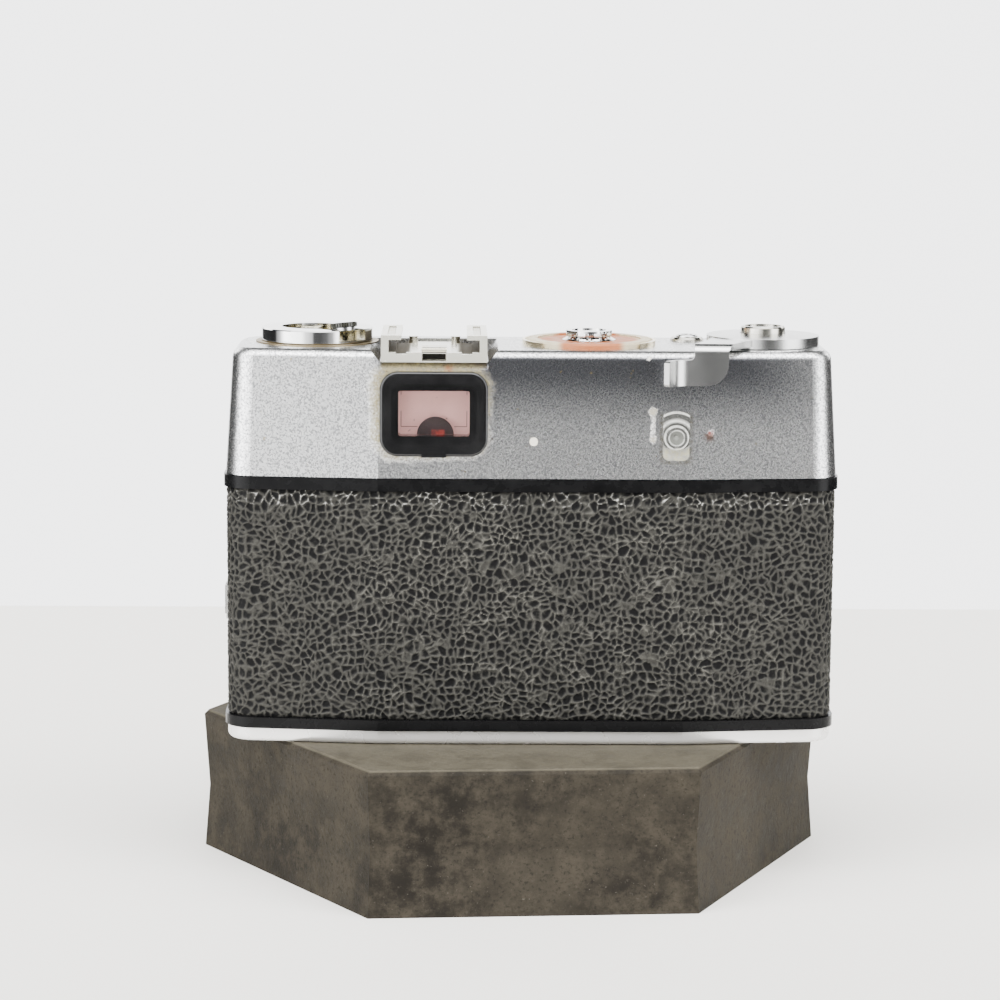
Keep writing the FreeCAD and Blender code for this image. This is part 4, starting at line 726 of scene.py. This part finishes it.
def front_keep(x, y, z):
    """The front's skin, open round the lens, the self-timer and the latch."""
    lens = np.hypot(x, z - 29.5) < 23.6
    timer = np.hypot(x + 34, z - 40) < 3.7
    latch = (x < -60) & (y < 22.1) & (z > 21.9) & (z < 38.1)
    return ~((lens | timer) & (y > 30) | latch)


leather_skin(
    "back_covering", "back_leather", "back",
    [(-HALF_WIDTH, SPLIT_Y), (-HALF_WIDTH, FACET_Y), (-CREASE_X, 0), (CREASE_X, 0), (HALF_WIDTH, FACET_Y),
     (HALF_WIDTH, SPLIT_Y)],
    [0, 6.0, 0, 0, 6.0, 0], seed=11, keep=back_keep)
leather_skin(
    "front_covering", "front_leather", "camera",
    [(HALF_WIDTH, 19.6), (HALF_WIDTH, DEPTH), (-HALF_WIDTH, DEPTH), (-HALF_WIDTH, SPLIT_Y + 0.35)],
    [0, 9.0, 9.0, 0], seed=41, keep=front_keep)


# ---------------------------------------------------------------- set, lights and camera
FLOOR_HALF = 0.277
FLOOR_COLOUR = (0.98, 0.955, 0.90)


def floor():
    """Pale seamless floor with a very slow change of tone."""
    mesh = bpy.data.meshes.new("floor")
    corners = [(x * FLOOR_HALF, y * FLOOR_HALF, 0) for x, y in ((-1, -1), (1, -1), (1, 1), (-1, 1))]
    mesh.from_pydata(corners, [], [(0, 1, 2, 3)])
    look = Look("pale_floor", FLOOR_COLOUR, 0.0, 0.7)
    darker = tuple(c * 0.97 for c in FLOOR_COLOUR)
    look.out(look.mix(look.noise(0.01, 3.0), darker, FLOOR_COLOUR), "Base Color")
    mesh.materials.append(look.mat)
    obj = bpy.data.objects.new("floor", mesh)
    bpy.context.scene.collection.objects.link(obj)


floor()

# brightness of the surroundings at angles in degrees: round the horizon, with 0 behind the photographer
# and right positive, and over the top, from 0 behind the photographer to 180 at the backdrop
AROUND = [(-180, 4.2), (-160, 4.0), (-150, 0.06), (-95, 0.03), (-84, 1.0), (-66, 8.0), (-34, 6.0),
          (-19, 2.2), (-9, 1.3), (-5, 0.14), (8, 0.13), (20, 0.22), (32, 0.7), (48, 6.5), (72, 6.0),
          (84, 0.03), (150, 0.06), (160, 4.0), (180, 4.2)]
OVER = [(-180, 4.2), (0, 0.05), (32, 0.2), (45, 8.5), (70, 8.5), (84, 0.4), (100, 0.03), (143, 0.05),
        (160, 3.4), (180, 4.2)]
# heights of the direction between which the first gives way to the second
BLEND_LOW, BLEND_HIGH = 0.28, 0.55


def world():
    """Studio surroundings: a dim photographer's side between two bright cards, and a white backdrop."""
    scene_world = bpy.data.worlds.new("studio")
    bpy.context.scene.world = scene_world
    scene_world.use_nodes = True
    tree = scene_world.node_tree
    coords = tree.nodes.new("ShaderNodeTexCoord")
    parts = tree.nodes.new("ShaderNodeSeparateXYZ")
    tree.links.new(coords.outputs["Generated"], parts.inputs[0])

    def calc(operation, *values):
        node = tree.nodes.new("ShaderNodeMath")
        node.operation = operation
        for value, socket in zip(values, node.inputs):
            if hasattr(value, "is_output"):
                tree.links.new(value, socket)
            else:
                socket.default_value = value
        return node.outputs[0]

    def ramp(angle, stops):
        """Brightness against an angle in radians, from stops in degrees from -180 to 180."""
        node = tree.nodes.new("ShaderNodeValToRGB")
        node.color_ramp.interpolation = "EASE"
        tree.links.new(calc("MULTIPLY_ADD", angle, 0.5 / math.pi, 0.5), node.inputs[0])
        elements = node.color_ramp.elements
        places = [(degrees / 360 + 0.5, (v, v * 1.003, v * 1.01, 1)) for degrees, v in stops]
        elements[0].position, elements[0].color = places[0]
        elements[1].position, elements[1].color = places[-1]
        for position, colour in places[1:-1]:
            elements.new(position).color = colour
        return node.outputs[0]

    towards_photographer = calc("MULTIPLY", parts.outputs["Y"], -1.0)
    around = ramp(calc("ARCTAN2", parts.outputs["X"], towards_photographer), AROUND)
    over = ramp(calc("ARCTAN2", parts.outputs["Z"], towards_photographer), OVER)
    steep = tree.nodes.new("ShaderNodeMapRange")
    steep.interpolation_type = "SMOOTHSTEP"
    tree.links.new(parts.outputs["Z"], steep.inputs["Value"])
    steep.inputs["From Min"].default_value = BLEND_LOW
    steep.inputs["From Max"].default_value = BLEND_HIGH
    blend = tree.nodes.new("ShaderNodeMix")
    blend.data_type = "RGBA"
    tree.links.new(steep.outputs["Result"], blend.inputs["Factor"])
    colour_in = [s for s in blend.inputs if s.type == "RGBA"]
    colour_out = [s for s in blend.outputs if s.type == "RGBA"]
    tree.links.new(around, colour_in[0])
    tree.links.new(over, colour_in[1])
    tree.links.new(colour_out[0], tree.nodes["Background"].inputs["Color"])


world()


def softbox(name, where, aim, width, height, power):
    """A rectangular area light aimed at a point; metres and watts."""
    light = bpy.data.lights.new(name, "AREA")
    light.shape = "RECTANGLE"
    light.size, light.size_y = width, height
    light.energy = power
    obj = bpy.data.objects.new(name, light)
    bpy.context.scene.collection.objects.link(obj)
    obj.location = where
    obj.rotation_euler = (Vector(aim) - Vector(where)).to_track_quat("-Z", "Y").to_euler()


TARGET = (0.0, -0.02, 0.07)
softbox("overhead", (0.0, -0.25, 1.15), TARGET, 1.3, 0.9, 12.0)
softbox("rear_left", (-0.8, 0.9, 0.6), TARGET, 0.6, 0.6, 6.0)
softbox("rear_right", (0.9, 0.8, 0.5), TARGET, 0.5, 0.6, 5.0)

# the viewpoint, in camera millimetres, and where it looks, in degrees
VIEWPOINT = (-16.75, -606.96, 145.42)
YAW, PITCH_DOWN, ROLL = math.radians(0.95), math.radians(8.74), math.radians(0.41)
FOCAL_LENGTH, SENSOR_WIDTH = 106.73, 36.0


def camera():
    """The viewpoint: slightly above the camera's back, a little to its left."""
    data = bpy.data.cameras.new("viewpoint")
    data.lens, data.sensor_width = FOCAL_LENGTH, SENSOR_WIDTH
    data.clip_start = 0.01
    obj = bpy.data.objects.new("viewpoint", data)
    bpy.context.scene.collection.objects.link(obj)
    bpy.context.scene.camera = obj
    ahead = Vector((math.sin(YAW) * math.cos(PITCH_DOWN), math.cos(YAW) * math.cos(PITCH_DOWN),
                    -math.sin(PITCH_DOWN)))
    level = Vector((math.cos(YAW), -math.sin(YAW), 0))
    above = level.cross(ahead)
    right = level * math.cos(ROLL) + above * math.sin(ROLL)
    up = above * math.cos(ROLL) - level * math.sin(ROLL)
    turn = Matrix((right, up, -ahead)).transposed().to_4x4()
    obj.matrix_world = Matrix.Translation(at(*VIEWPOINT)) @ turn


camera()
